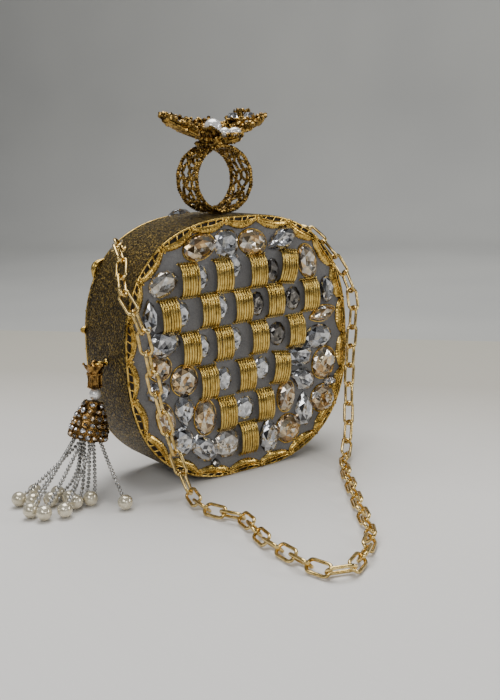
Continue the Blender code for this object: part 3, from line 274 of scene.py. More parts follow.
class Look:
    """A Principled material with a small set of procedural helpers."""

    def __init__(self, name, colour, roughness, metallic=0.0, **sockets):
        self.material = bpy.data.materials.new(name)
        self.material.use_nodes = True
        self.material.diffuse_color = (*colour, 1.0)
        self.tree = self.material.node_tree
        self.shader = self.tree.nodes["Principled BSDF"]
        sockets.update(Base_Color=(*colour, 1.0), Roughness=roughness, Metallic=metallic)
        for socket, value in sockets.items():
            self.shader.inputs[socket.replace("_", " ")].default_value = value

    def node(self, kind, **values):
        """A new node. Each value goes to the socket of its name, or else to the setting."""
        made = self.tree.nodes.new(kind)
        for key, value in values.items():
            if key in made.inputs:
                made.inputs[key].default_value = value
            else:
                setattr(made, key, value)
        return made

    def link(self, source, target):
        self.tree.links.new(source, target)

    def where(self, stretch=(1, 1, 1)):
        """Coordinates in metres on the object."""
        place = self.node("ShaderNodeTexCoord").outputs["Object"]
        if stretch != (1, 1, 1):
            scaled = self.node("ShaderNodeMapping", Scale=stretch)
            self.link(place, scaled.inputs["Vector"])
            place = scaled.outputs["Vector"]
        return place

    def noise(self, scale, detail=3.0, rough=0.6, twist=0.0, stretch=(1, 1, 1)):
        made = self.node("ShaderNodeTexNoise", Scale=scale, Detail=detail, Roughness=rough, Distortion=twist)
        self.link(self.where(stretch), made.inputs["Vector"])
        return made.outputs["Fac"]

    def cells(self, scale, output="Color"):
        made = self.node("ShaderNodeTexVoronoi", Scale=scale)
        self.link(self.where(), made.inputs["Vector"])
        return made.outputs[output]

    def ramp(self, source, stops):
        made = self.node("ShaderNodeValToRGB")
        made.color_ramp.elements[0].position = stops[0][0]
        made.color_ramp.elements[1].position = stops[-1][0]
        for place, _ in stops[1:-1]:
            made.color_ramp.elements.new(place)
        for element, (_, value) in zip(made.color_ramp.elements, stops):
            element.color = (*value, 1.0) if hasattr(value, "__len__") else (value, value, value, 1.0)
        self.link(source, made.inputs["Fac"])
        return made.outputs["Color"]

    def along(self, way, near, far):
        """0 to 1 from near to far metres in the direction way."""
        dot = self.node("ShaderNodeVectorMath", operation="DOT_PRODUCT")
        self.link(self.where(), dot.inputs[0])
        dot.inputs[1].default_value = way
        span = self.node("ShaderNodeMapRange", **{"From Min": near, "From Max": far})
        self.link(dot.outputs["Value"], span.inputs["Value"])
        return span.outputs["Result"]

    def into(self, source, socket="Base Color"):
        self.link(source, self.shader.inputs[socket])

    def blend(self, source, low, high, near=0.3, far=0.7, socket="Base Color"):
        """A socket that goes from low to high while source goes from near to far."""
        self.into(self.ramp(source, [(near, low), (far, high)]), socket)

    def bump(self, source, distance, strength=1.0):
        made = self.node("ShaderNodeBump", Strength=strength, Distance=distance)
        self.link(source, made.inputs["Height"])
        previous = self.shader.inputs["Normal"].links
        if previous:
            self.link(previous[0].from_socket, made.inputs["Normal"])
        self.link(made.outputs["Normal"], self.shader.inputs["Normal"])


def make_looks():
    cloth = Look("glitter_fabric", (0.20, 0.14, 0.05), 0.5, 0.80)
    grain = cloth.noise(900, 3.0, 0.62, 0.3)
    cloth.into(cloth.ramp(grain, [(0.38, (0.004, 0.002, 0.0006)), (0.47, (0.026, 0.016, 0.003)),
                                  (0.55, (0.095, 0.060, 0.012)), (0.67, (0.50, 0.35, 0.085))]))
    cloth.blend(cloth.noise(1500, 2.0), 0.30, 0.72, 0.35, 0.65, "Roughness")
    cloth.bump(grain, 0.0014, 1.0)
    cloth.bump(cloth.noise(2200, 1.0), 0.00014, 0.6)

    felt = Look("felt", (0.16, 0.16, 0.165), 0.95, 0.0, Sheen_Weight=0.25, Sheen_Roughness=0.6)
    fuzz = felt.noise(1400, 5.0, 0.75)
    felt.blend(fuzz, (0.095, 0.094, 0.095), (0.192, 0.188, 0.186))
    felt.bump(fuzz, 0.0002, 0.6)

    looks = {"cloth": cloth, "felt": felt}
    for name, (low, high, rough, dent) in METALS.items():
        metal = Look(name, high, rough, 1.0)
        metal.blend(metal.noise(300, 4.0, 0.7), low, high, 0.36, 0.58)
        if name != "wire":
            metal.blend(metal.noise(700, 3.0), rough * 0.7, rough * 1.6, socket="Roughness")
        metal.bump(metal.noise(900, 2.0), dent, 0.5)
        looks[name] = metal

    nacre = Look("pearl", (0.62, 0.56, 0.44), 0.17, 0.55, Coat_Weight=1.0, Coat_Roughness=0.04)
    nacre.blend(nacre.noise(160, 3.0), (0.54, 0.475, 0.33), (0.78, 0.715, 0.56))
    nacre.bump(nacre.noise(500, 2.0), 0.00004, 0.4)
    white = Look("white_pearl", (0.82, 0.81, 0.79), 0.16, 0.42, Coat_Weight=1.0, Coat_Roughness=0.05)
    white.blend(white.noise(200, 3.0), (0.74, 0.73, 0.72), (0.90, 0.89, 0.87))
    bead = Look("seed_bead", (0.56, 0.55, 0.52), 0.13, 0.70, Coat_Weight=1.0, Coat_Roughness=0.04)
    bead.blend(bead.cells(520), (0.20, 0.197, 0.185), (0.60, 0.59, 0.565), 0.1, 0.9)

    stone = Look("cut_stone", (0.8, 0.8, 0.8), 0.05, 0.86, Coat_Weight=1.0, Coat_Roughness=0.02)
    tone = stone.node("ShaderNodeVertexColor", layer_name="tone")
    shade = stone.ramp(stone.noise(420, 2.0, 0.5, 0.6), [(0.35, 0.62), (0.60, 1.0)])
    mixed = stone.node("ShaderNodeMix", data_type="RGBA", blend_type="MULTIPLY", Factor=1.0)
    stone.link(tone.outputs["Color"], mixed.inputs[6])
    stone.link(shade, mixed.inputs[7])
    stone.into(mixed.outputs[2])
    stone.bump(stone.cells(520, "Distance"), 0.00018, 0.35)

    # A near-black strip of painted shade on the felt, for the shadow in the leaf border's openings
    backing = Look("border_backing", (0.020, 0.014, 0.009), 0.7)
    backing.blend(backing.noise(900, 3.0), (0.012, 0.008, 0.005), (0.040, 0.028, 0.018))
    inner = Look("lining_cloth", (0.16, 0.12, 0.08), 0.55, 0.0, Sheen_Weight=0.4)
    weave = inner.noise(1600, 2.0, 0.5, 0.0, (1, 1, 0.25))
    inner.blend(weave, (0.10, 0.072, 0.045), (0.22, 0.165, 0.11), 0.35, 0.65)
    inner.bump(weave, 0.00008, 0.6)
    pulp = Look("board", (0.42, 0.35, 0.26), 0.85)
    pulp.blend(pulp.noise(900, 4.0), (0.34, 0.28, 0.20), (0.50, 0.43, 0.33))
    pulp.bump(pulp.noise(1800, 2.0), 0.00006)
    nickel = Look("steel", (0.62, 0.62, 0.63), 0.3, 1.0)
    nickel.blend(nickel.noise(600, 3.0, 0.6, 0.0, (0.1, 1, 1)), 0.22, 0.42, socket="Roughness")
    looks.update(pearl=nacre, white_pearl=white, bead=bead, stone=stone, backing=backing, lining=inner,
                 board=pulp, steel=nickel)
    return looks


LOOKS = make_looks()


class Shape:
    """Points and faces that end as one piece, with a tone for each face where it needs one."""

    def __init__(self):
        self.verts = []
        self.faces = []
        self.tones = []

    def add(self, verts, faces, tones=None):
        first = len(self.verts)
        self.verts.extend(verts)
        self.faces.extend([tuple(first + k for k in face) for face in faces])
        self.tones.extend(tones if tones else [(1, 1, 1)] * len(faces))

    def piece(self, name, look, body="box", nodes=(), sharp=60):
        """Make the object, smooth up to sharp degrees. It rides on its body and stands for its CAD nodes."""
        data = bpy.data.meshes.new(name)
        data.from_pydata([tuple(v) for v in self.verts], [], self.faces)
        data.materials.append(LOOKS[look].material)
        if look == "stone":
            layer = data.color_attributes.new(name="tone", type="FLOAT_COLOR", domain="CORNER")
            corners = []
            for face, tone in zip(data.polygons, self.tones):
                corners += [*tone, 1.0] * face.loop_total
            layer.data.foreach_set("color", corners)
        else:
            data.shade_smooth()
            data.set_sharp_from_angle(angle=radians(sharp))
        data.validate()
        shape = bmesh.new()
        shape.from_mesh(data)
        bmesh.ops.recalc_face_normals(shape, faces=shape.faces)
        shape.to_mesh(data)
        shape.free()
        obj = bpy.data.objects.new(name, data)
        bpy.context.scene.collection.objects.link(obj)
        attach(obj, body)
        if nodes:
            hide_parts(*nodes)
        SLOTS.get(look, look)
        return obj


def ball_template(detail):
    shape = bmesh.new()
    bmesh.ops.create_icosphere(shape, subdivisions=detail, radius=1.0)
    verts = [v.co.copy() for v in shape.verts]
    faces = [tuple(v.index for v in f.verts) for f in shape.faces]
    shape.free()
    return verts, faces


BALLS = {detail: ball_template(detail) for detail in (1, 2, 3, 4)}


def ball(shape, middle, radius, detail=2, matrix=Matrix.Identity(3)):
    verts, faces = BALLS[detail]
    shape.add([middle + matrix @ (v * radius) for v in verts], faces)


def nugget(shape, middle, radius, dice):
    """A rough lump of cast metal."""
    verts, faces = BALLS[1]
    spin = Matrix.Rotation(dice.uniform(0, 6.28), 3, Vector((dice.random() - 0.5, dice.random() - 0.5, 0.4)))
    shape.add([middle + spin @ v * radius * dice.uniform(0.78, 1.12) for v in verts], faces)


def turns(count, shift=0.0):
    """Angles at even spaces round a circle."""
    return [2 * pi * (k + shift) / count for k in range(count)]


def hoop(middle, right, up, count, shift=0.0):
    """Points round a middle; right and up are the radii across and upward."""
    return [middle + right * cos(a) + up * sin(a) for a in turns(count, shift)]


def level_hoop(middle, lift, wide, deep, count, shift=0.0):
    """Points round a middle and lift above it, in millimetres, wide along X and deep along Y."""
    return hoop(middle + Vector((0, 0, lift)) * MM, Vector((wide, 0, 0)) * MM, Vector((0, deep, 0)) * MM,
                count, shift)


def travelled(points):
    """The way along a line to each of its points."""
    ways = [0.0]
    for a, b in zip(points, points[1:]):
        ways.append(ways[-1] + (b - a).length)
    return ways


def spaced(points, count):
    """A line's two ends and points at even spaces between them, count spaces in all."""
    ways = travelled(points)
    even = []
    place = 0
    for k in range(count + 1):
        target = ways[-1] * k / count
        while place < len(points) - 2 and ways[place + 1] < target:
            place += 1
        part = (target - ways[place]) / (ways[place + 1] - ways[place])
        even.append(points[place].lerp(points[place + 1], min(part, 1.0)))
    return even


def tube(shape, rings, closed=False):
    """Rings of points joined in their order, with a face over each end unless the last joins the first."""
    around = len(rings[0])
    faces = []
    for i in range(len(rings) if closed else len(rings) - 1):
        a = i * around
        b = (i + 1) % len(rings) * around
        for k in range(around):
            n = (k + 1) % around
            faces.append((a + k, a + n, b + n, b + k))
    if not closed:
        faces.append(tuple(range(around - 1, -1, -1)))
        faces.append(tuple((len(rings) - 1) * around + k for k in range(around)))
    shape.add([p for ring in rings for p in ring], faces)


def crosswise(points, closed, up=None):
    """Two ways across a line at each of its points; up is the normal of the plane that they lie in."""
    count = len(points)
    ways = []
    side = None
    for k in range(count):
        if closed:
            along = (points[(k + 1) % count] - points[k - 1]).normalized()
        else:
            along = (points[min(k + 1, count - 1)] - points[max(k - 1, 0)]).normalized()
        if up is not None:
            side = along.cross(up).normalized()
        elif side is None:
            side = along.orthogonal().normalized()
        else:
            side = (side - along * side.dot(along)).normalized()
        ways.append((side, along.cross(side)))
    return ways


def sweep(shape, points, radius, sides=8, closed=False, up=None, taper=None):
    """A round wire along points."""
    circle = [(cos(a), sin(a)) for a in turns(sides)]
    rings = []
    for k, (p, (side, other)) in enumerate(zip(points, crosswise(points, closed, up))):
        r = radius * (taper(k / (len(points) - 1)) if taper else 1.0)
        rings.append([p + (side * c + other * s) * r for c, s in circle])
    tube(shape, rings, closed)


def rope(shape, points, wire, pitch, closed=False):
    """Two wires twisted along a line."""
    ways = travelled(points)
    total = ways[-1] + ((points[0] - points[-1]).length if closed else 0.0)
    twists = max(1, round(total / pitch))
    across = crosswise(points, closed)
    for start in (0.0, 0.5):
        line = []
        for p, way, (side, other) in zip(points, ways, across):
            angle = 2 * pi * (twists * way / total + start)
            line.append(p + (side * cos(angle) + other * sin(angle)) * wire)
        sweep(shape, line, wire * 1.06, 5, closed)


def outline(inset=0.0, floor=0.0, count=OUTLINE_STEPS):
    """The body's outline as (x, z), moved inward, with a flat foot inset above the floor."""
    half_width = WIDTH / 2 - inset
    half_height = (HEIGHT + FOOT_DROP) / 2 - inset
    middle = (HEIGHT - FOOT_DROP) / 2
    power = 2 / CORNER_POWER
    points = []
    for turn in turns(6 * OUTLINE_STEPS):
        across = cos(pi / 2 + turn)
        up = sin(pi / 2 + turn)
        points.append(Vector((half_width * copysign(abs(across) ** power, across),
                              middle + half_height * copysign(abs(up) ** power, up))))
    return [Vector((p[0], max(p[1], floor + inset))) for p in spaced(points + points[:1], count)[:-1]]


def band(shape, profile, floor=0.0):
    """A closed section of (inset, y) points swept round the body's outline."""
    tube(shape, [[Vector((p[0], y, p[1])) for p in outline(inset, floor)] for inset, y in profile], True)


def plate(shape, inset, near, far, floor=0.0):
    """A flat sheet with softened edges that fills the body's outline."""
    step = copysign(SHEET_BEVEL, far - near)
    inner = inset + SHEET_BEVEL
    profile = [(inner, near), (inset, near + step), (inset, far - step), (inner, far)]
    tube(shape, [[Vector((p[0], y, p[1])) for p in outline(inset, floor)] for inset, y in profile])


def box_middle(name):
    """The middle of a CAD node's box."""
    lo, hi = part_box(name)
    return (lo + hi) / 2


def on_face(facing, x, z, p):
    """A jewel's point in its place on the front (-1) or the back (1)."""
    return Vector((-facing * (x * MM + p.x), facing * (FACE_FRONT - p.y), z * MM + p.z))


def wrap():
    """The glitter fabric round the wall and round the lid's edge."""
    side = Shape()
    band(side, [(WRAP_EDGE, -24.0 * MM), (0, -23.7 * MM), (0, -12 * MM), (0, 0), (0, 12 * MM), (0, 20.5 * MM),
                (WRAP_EDGE, WALL), (WRAP, WALL), (WRAP, -24.0 * MM)])
    side.piece("side_wrap_skin", "cloth", "box", ["side_wrap"], 40)
    back = Shape()
    band(back, [(WRAP_EDGE, 21.1 * MM), (0, 21.35 * MM), (0, 23.0 * MM), (WRAP_EDGE, 23.3 * MM),
                (WRAP, 23.3 * MM), (WRAP, 21.1 * MM)], LID_FLOOR)
    back.piece("lid_wrap_skin", "cloth", "lid", ["lid_wrap"], 40)


CUTS = {
    "oval": lambda c, s: (c, s),
    "cushion": lambda c, s: (copysign(abs(c) ** 0.72, c), copysign(abs(s) ** 0.72, s)),
    "marquise": lambda c, s: (c, s * (1 - 0.42 * abs(c) ** 1.6)),
    "pear_up": lambda c, s: (c * (1 - 0.52 * max(0.0, s) ** 1.1), s),
    "pear_down": lambda c, s: (c * (1 - 0.52 * max(0.0, -s) ** 1.1), s),
    "pear_left": lambda c, s: (c, s * (1 - 0.52 * max(0.0, -c) ** 1.1)),
}


def cut_stone(shape, place, width, height, rise, cut="oval", tint="clear", dice=None, sides=12):
    """A foil-backed stone with crown facets and the pavilion's facets showing in its table.

    place turns a point (across, out, up) into the row frame.
    """
    def ring(scale, out, count, offset):
        made = []
        for angle in turns(count, offset):
            c, s = CUTS[cut](cos(angle), sin(angle))
            made.append(place(Vector((c * width / 2 * scale, out, s * height / 2 * scale))))
        return made

    half = sides // 2
    rings = [ring(1.0, -0.0003, sides, 0), ring(1.0, rise * 0.22, sides, 0),
             ring(0.86, rise * 0.56, sides, 0.5), ring(0.60, rise * 0.96, half, 0.25),
             ring(0.34, rise * 0.90, half, 0.75)]
    top = place(Vector((0, rise * 0.80, 0)))
    verts = [p for r in rings for p in r] + [top]
    starts = [0, sides, 2 * sides, 3 * sides, 3 * sides + half]
    faces = []
    for k in range(sides):
        n = (k + 1) % sides
        faces.append((starts[0] + k, starts[0] + n, starts[1] + n, starts[1] + k))
        faces.append((starts[1] + k, starts[1] + n, starts[2] + k))
        faces.append((starts[1] + n, starts[2] + n, starts[2] + k))
    for k in range(half):
        n = (k + 1) % half
        a, b, c = 2 * k, (2 * k + 1) % sides, (2 * k + 2) % sides
        faces.append((starts[2] + a, starts[2] + b, starts[3] + k))
        faces.append((starts[2] + b, starts[3] + n, starts[3] + k))
        faces.append((starts[2] + b, starts[2] + c, starts[3] + n))
        faces.append((starts[3] + k, starts[3] + n, starts[4] + k))
        faces.append((starts[3] + n, starts[4] + n, starts[4] + k))
        faces.append((starts[4] + k, starts[4] + n, len(verts) - 1))
    faces.append(tuple(range(sides)))
    # Each facet takes one of its kind's tones, dimmed at random: the stone's colour plus painted glints and
    # painted dark reflections of the cut
    tints = TINTS_AND_GLINTS[tint]
    tones = []
    for face in faces:
        low = min(face) < sides
        tone = AMBER if tint == "gold" and low and dice.random() < 0.55 else dice.choice(tints)
        shade = 1.0 if tint in ("glass", "mirror") else dice.uniform(0.55, 1.0)
        tones.append(tuple(c * shade for c in tone))
    shape.add(verts, faces, tones)


def wire_arches(shape, facing, dice):
    """Arches of bent wires, each with a zigzag wire at both ends that hooks it to the felt."""
    pitch = ARCH_WIDTH / ARCH_BARS
    wire = pitch / 2 * WIRE_FILL
    for x, z, turn in ARCHES:
        spin = Matrix.Rotation(-radians(turn), 3, "Y")
        rise = ARCH_RISE * dice.uniform(0.95, 1.03)
        for w in range(ARCH_BARS):
            across = (w - (ARCH_BARS - 1) / 2) * pitch
            lift = dice.uniform(-0.14, 0.14) * MM
            sway = dice.uniform(-0.12, 0.12) * MM
            line = []
            for k in range(21):
                angle = pi * (k / 20 * 1.12 - 0.06)
                out = sin(angle) ** 0.72 if sin(angle) > 0 else -abs(sin(angle))
                up = -cos(angle) * (ARCH_HEIGHT / 2 - wire)
                depth = -(out * (rise - wire) + lift)
                line.append(on_face(facing, x, z, spin @ Vector((across + sway * sin(angle), depth, up))))
            sweep(shape, line, wire, 10, False, spin @ Vector((-facing, 0, 0)))
        for end in (-1, 1):
            hook = []
            for w in range(2 * ARCH_BARS + 1):
                outer = w % 2
                across = (w / (2 * ARCH_BARS) - 0.5) * (ARCH_WIDTH + 1.6 * MM)
                away = end * (ARCH_HEIGHT / 2 + (0.5 if outer else -0.5) * MM)
                hook.append(on_face(facing, x, z, spin @ Vector((across, -(0.5 + 0.3 * outer) * MM, away))))
            sweep(shape, hook, HOOK_WIRE, 6)


def face_jewels(facing, label, body, node, floor):
    """Felt, wire arches and stones of one face."""
    ground = Shape()
    plate(ground, FRAME_IN, facing * FACE_BACK, facing * FACE_FRONT, floor)
    ground.piece(label + "_felt", "felt", body, [node], 40)
    dice = random.Random(JEWEL_SEED + (facing > 0))
    wires = Shape()
    wire_arches(wires, facing, dice)
    wires.piece(label + "_arches", "wire", body)
    gems = Shape()
    seats = Shape()
    for x, z, width, height, turn, cut, tint in STONES + (BACK_CREST if facing > 0 else []):
        spin = Matrix.Rotation(-radians(turn), 3, "Y")
        low = tint in ("glass", "smoke")
        across, up = (size * MM * (1.0 if low else STONE_FILL) for size in (width, height))

        def place(p, x=x, z=z, spin=spin):
            return on_face(facing, x, z, spin @ Vector((p.x, -p.y, p.z)))

        def behind(p, place=place):
            return place(Vector((p.x, -p.y - CREST_BACK, p.z)))

        rise = STONE_RISE * dice.uniform(0.88, 1.0) * (LOW_STONE if low else 1.0)
        cut_stone(gems, place, across, up, rise, cut, tint, dice)
        if z > CREST_Z and facing > 0:
            # a stone past the top edge shows its back, so it has a second crown there
            cut_stone(gems, behind, across, up, CREST_RISE, cut, "glass", dice)
        if tint == "gold":
            rim = [CUTS[cut](cos(a), sin(a)) for a in turns(28)]
            rim = [place(Vector((c * across * 0.51, 0.35 * MM, s * up * 0.51))) for c, s in rim]
            sweep(seats, rim, STONE_RIM, 6, True)
    gems.piece(label + "_stones", "stone", body)
    seats.piece(label + "_stone_rims", "gold", body)


def strip_solid(shape, rows, drop):
    """A closed strip: rows of points, and the same rows moved by drop."""
    wide = len(rows[0])
    top = [p for row in rows for p in row]
    low = [p + drop for p in top]
    total = len(top)
    faces = []
    for i in range(len(rows) - 1):
        for j in range(wide - 1):
            a = i * wide + j
            b = a + wide
            faces.append((a, a + 1, b + 1, b))
            faces.append((total + a, total + b, total + b + 1, total + a + 1))
        for j in (0, wide - 1):
            a = i * wide + j
            faces.append((a, a + wide, total + a + wide, total + a))
    for i in (0, len(rows) - 1):
        for j in range(wide - 1):
            a = i * wide + j
            faces.append((a, a + 1, total + a + 1, total + a))
    shape.add(top + low, faces)


def side_lumps():
    """The gold leaf and the knob that stand out beyond the lid's edge on the left."""
    lumps = Shape()
    for x, z, wide, tall in ((-64.4, 122.4, 1.5, 12.0), (-74.6, 87.6, 1.2, 4.6)):
        foot = Vector((x, 24.2, z)) * MM
        away = Vector((x, 0, z - 74)).normalized()
        rise = Vector((away.z, 0, -away.x))
        for side in (-1, 0, 1):
            line = []
            for k in range(13):
                swell = sin(pi * k / 12)
                out = -1.5 + (3.4 if side == 0 else 2.7) * swell
                line.append(foot + rise * (k / 12 - 0.5) * tall * MM + away * out * MM
                            + Vector((0, side * wide * 0.8 * MM * swell, 0)))
            sweep(lumps, line, wide * MM, 10, False, Vector((0, 1, 0)),
                  lambda t: 0.35 + 0.55 * max(sin(pi * t), 0.0))
    lumps.piece("side_lumps", "gold", "lid")


def leaf_border(facing, label, body, node, floor):
    """A rail wire, fluted leaves with a beaded vein held to it by struts, and knots between the leaves."""
    count = LEAVES * LEAF_STEPS
    lines = {inset: outline(inset * MM, floor, count) for inset in (0.6, 1.2, 2.4, 3.6, 4.8, 6.2, 7.8)}

    def at(k, inset, out):
        """A point inset millimetres from the outline and out metres proud of the felt."""
        keys = sorted(lines)
        inset = min(max(inset, keys[0]), keys[-1])
        for a, b in zip(keys, keys[1:]):
            if inset <= b:
                p = lines[a][k % count].lerp(lines[b][k % count], (inset - a) / (b - a))
                break
        return Vector((p[0], facing * (FACE_FRONT + GAP + out), p[1]))

    dice = random.Random(BORDER_SEED + (facing > 0))
    outward = Vector((0, facing, 0))
    # A thin dark strip under the border: painted shade in the openings between the rail and the leaves
    backing = Shape()
    rows = [[at(k, inset, 0.0) for inset in (0.6, 1.8, 3.0)] for k in range(0, count + 1, 2)]
    strip_solid(backing, rows, outward * 0.25 * MM)
    backing.piece(label + "_border_backing", "backing", body)
    rim = Shape()
    sweep(rim, [at(k, 0.7, 0.5 * MM) for k in range(0, count, 2)], 0.60 * MM, 8, True, Vector((0, 1, 0)))
    leaves = Shape()
    edges = Shape()
    grains = Shape()
    for leaf in range(LEAVES):
        first = leaf * LEAF_STEPS + LEAF_PHASE
        rows = []
        outer_edge = []
        for i in range(LEAF_STEPS + 1):
            u = i / LEAF_STEPS
            bulge = max(sin(pi * u), 0.0)
            flute = 1 if i % 2 else -1
            outer = 1.5 + 1.7 * bulge ** 1.1
            inner = 3.0 + 4.5 * bulge ** 0.62 + 0.20 * flute * bulge
            vein = outer + (inner - outer) * 0.40
            rise = 0.5 * MM + 1.5 * MM * bulge ** 0.6
            rib = 0.20 * MM * flute * bulge
            k = first + i
            outer_edge.append(at(k, outer, 0.75 * rise + 0.3 * MM))
            rows.append([at(k, outer, 0.75 * rise), at(k, (outer + vein) / 2, rise * 0.78 + rib * 0.6),
                         at(k, vein - 0.25, rise * 1.02), at(k, vein + 0.30, rise * 1.02),
                         at(k, vein + (inner - vein) * 0.40, rise * 0.86 + rib),
                         at(k, vein + (inner - vein) * 0.75, rise * 0.58 + rib), at(k, inner, 0.28 * MM)])
            if i % 2:
                ball(grains, at(k, vein, rise * 1.02 + LEAF_GRAIN / 2), LEAF_GRAIN)
        strip_solid(leaves, rows, -outward * 0.5 * MM)
        sweep(edges, outer_edge, LEAF_EDGE, 6)
        for share in (0.30, 0.52, 0.74):
            k = round(first + share * LEAF_STEPS + dice.uniform(-1, 1))
            reach = 1.5 + 1.7 * sin(pi * share) ** 1.1
            strut = [at(k - 1, 0.7, 0.6 * MM), at(k, reach * 0.62, 1.2 * MM),
                     at(k + 1, reach + 0.2, 1.5 * MM)]
            sweep(edges, strut, LEAF_STRUT, 6)
    knots = Shape()
    for leaf in range(LEAVES):
        first = leaf * LEAF_STEPS + LEAF_PHASE
        for inset, out, r in ((0.9, 1.0, 1.05), (2.3, 1.6, 1.35), (3.9, 1.1, 0.95)):
            nugget(knots, at(first, inset, out * MM), r * MM, dice)
        for step, inset, r in ((-2, 1.2, 0.8), (2, 1.2, 0.8), (-2, 3.0, 0.85), (2, 3.0, 0.85)):
            ball(knots, at(first + step, inset, 1.1 * MM), r * MM)
    rim.piece(label + "_rim", "gold", body)
    leaves.piece(label + "_leaves", "gold", body, [node], 40)
    edges.piece(label + "_leaf_edges", "gold", body)
    grains.piece(label + "_leaf_grains", "gold", body)
    knots.piece(label + "_knots", "gold", body)


def ring_handle():
    """The finger ring: twisted rims and an uneven lattice of twisted wires."""
    radius = RING_RADIUS - RING_WALL / 2
    dice = random.Random(RING_SEED)
    edge = RING_WIDTH / 2 - RING_ROPE

    def at(angle, y, out=0.0):
        r = radius + out + 0.5 * MM * (abs(y) / edge) ** 3
        return Vector((RING_X + r * sin(angle), y, RING_Z - r * cos(angle)))

    wires = Shape()
    for y in (-edge, edge):
        line = [at(a, y + 0.22 * MM * sin(13 * a)) for a in turns(RING_STEPS)]
        rope(wires, line, RING_ROPE * 0.56, 3.0 * MM, True)
    for row, (level, waves) in enumerate(zip(RING_LEVELS[1:], RING_WAVES)):
        line = []
        for a in turns(RING_STEPS):
            y = edge * (level + 0.17 * sin(waves * a + 2.1 * row) + 0.05 * sin(3 * waves * a + row))
            line.append(at(a, y, 0.25 * MM * sin(5 * a + row)))
        rope(wires, line, 0.56 * MM, 2.6 * MM, True)
    for row, (low, high) in enumerate(zip(RING_LEVELS, RING_LEVELS[1:])):
        for k in range(RING_STRUTS):
            a = 2 * pi * (k + 0.5 * (row % 2) + dice.uniform(-0.24, 0.24)) / RING_STRUTS
            lean = dice.choice((-1, 1)) * dice.uniform(0.10, 0.24)
            curl = dice.uniform(-0.10, 0.10)
            line = []
            for i in range(9):
                t = i / 8
                line.append(at(a + lean * (t - 0.5) + curl * sin(pi * t),
                               edge * (low + (high - low) * t), 0.3 * MM * sin(pi * t)))
            rope(wires, line, 0.52 * MM, 2.4 * MM)
            nugget(wires, line[dice.choice((2, 4, 6))], dice.uniform(0.8, 1.15) * MM, dice)
    wires.piece("ring_filigree", "antique", "box", ["ring_band"])


def petal_point(petal, s, t, out=0.0):
    """A point on a petal: s along it, t across it from -1 to 1, out above it."""
    degrees, reach, slope = petal
    bearing = radians(degrees)
    r = reach * MM * (0.10 + 0.90 * s)
    wide = PETAL_WIDTH * (0.62 + 0.38 * reach / 32) * sin(pi * (0.18 + 0.70 * s)) ** 0.7
    along = Vector((cos(bearing), sin(bearing), 0))
    across = Vector((-along.y, along.x, 0))
    lift = r * slope + 1.6 * MM * t * t - 1.0 * MM * sin(pi * s)
    return Vector((RING_X, 0, FLOWER_Z + lift + out)) + along * r + across * (wide * t)


def floret(shape, middle, size, dice):
    """A little flower of balls round a raised middle."""
    lean = Matrix.Rotation(dice.uniform(-0.5, 0.5), 3, "X") @ Matrix.Rotation(dice.uniform(-0.5, 0.5), 3, "Y")
    count = dice.choice((5, 6))
    for k in range(count):
        a = 2 * pi * (k + dice.uniform(-0.1, 0.1)) / count
        nugget(shape, middle + lean @ Vector((cos(a), sin(a), dice.uniform(-0.1, 0.25))) * size,
               size * 0.56, dice)
    ball(shape, middle + lean @ Vector((0, 0, size * 0.45)), size * 0.50)


def hides_pearl(p, size):
    """Whether a lump at p would touch a flower pearl or stand in front of it."""
    for name in ("pearl_large", "pearl_small", "pearl_oval", "crystal_1", "crystal_2"):
        lo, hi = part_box("flower_" + name)
        middle = (lo + hi) / 2
        reach = (hi - lo).x / 2
        ahead = p - middle
        if ahead.length < reach + size * 0.8:
            return True
        depth = ahead.dot(FRONT_LEFT)
        if depth > 0 and (ahead - FRONT_LEFT * depth).length < reach * 0.92 + size:
            return True
    return False


def lump(shape, p, size, dice):
    """A nugget, unless it would touch a flower pearl or stand in front of it."""
    if not hides_pearl(p, size):
        nugget(shape, p, size, dice)


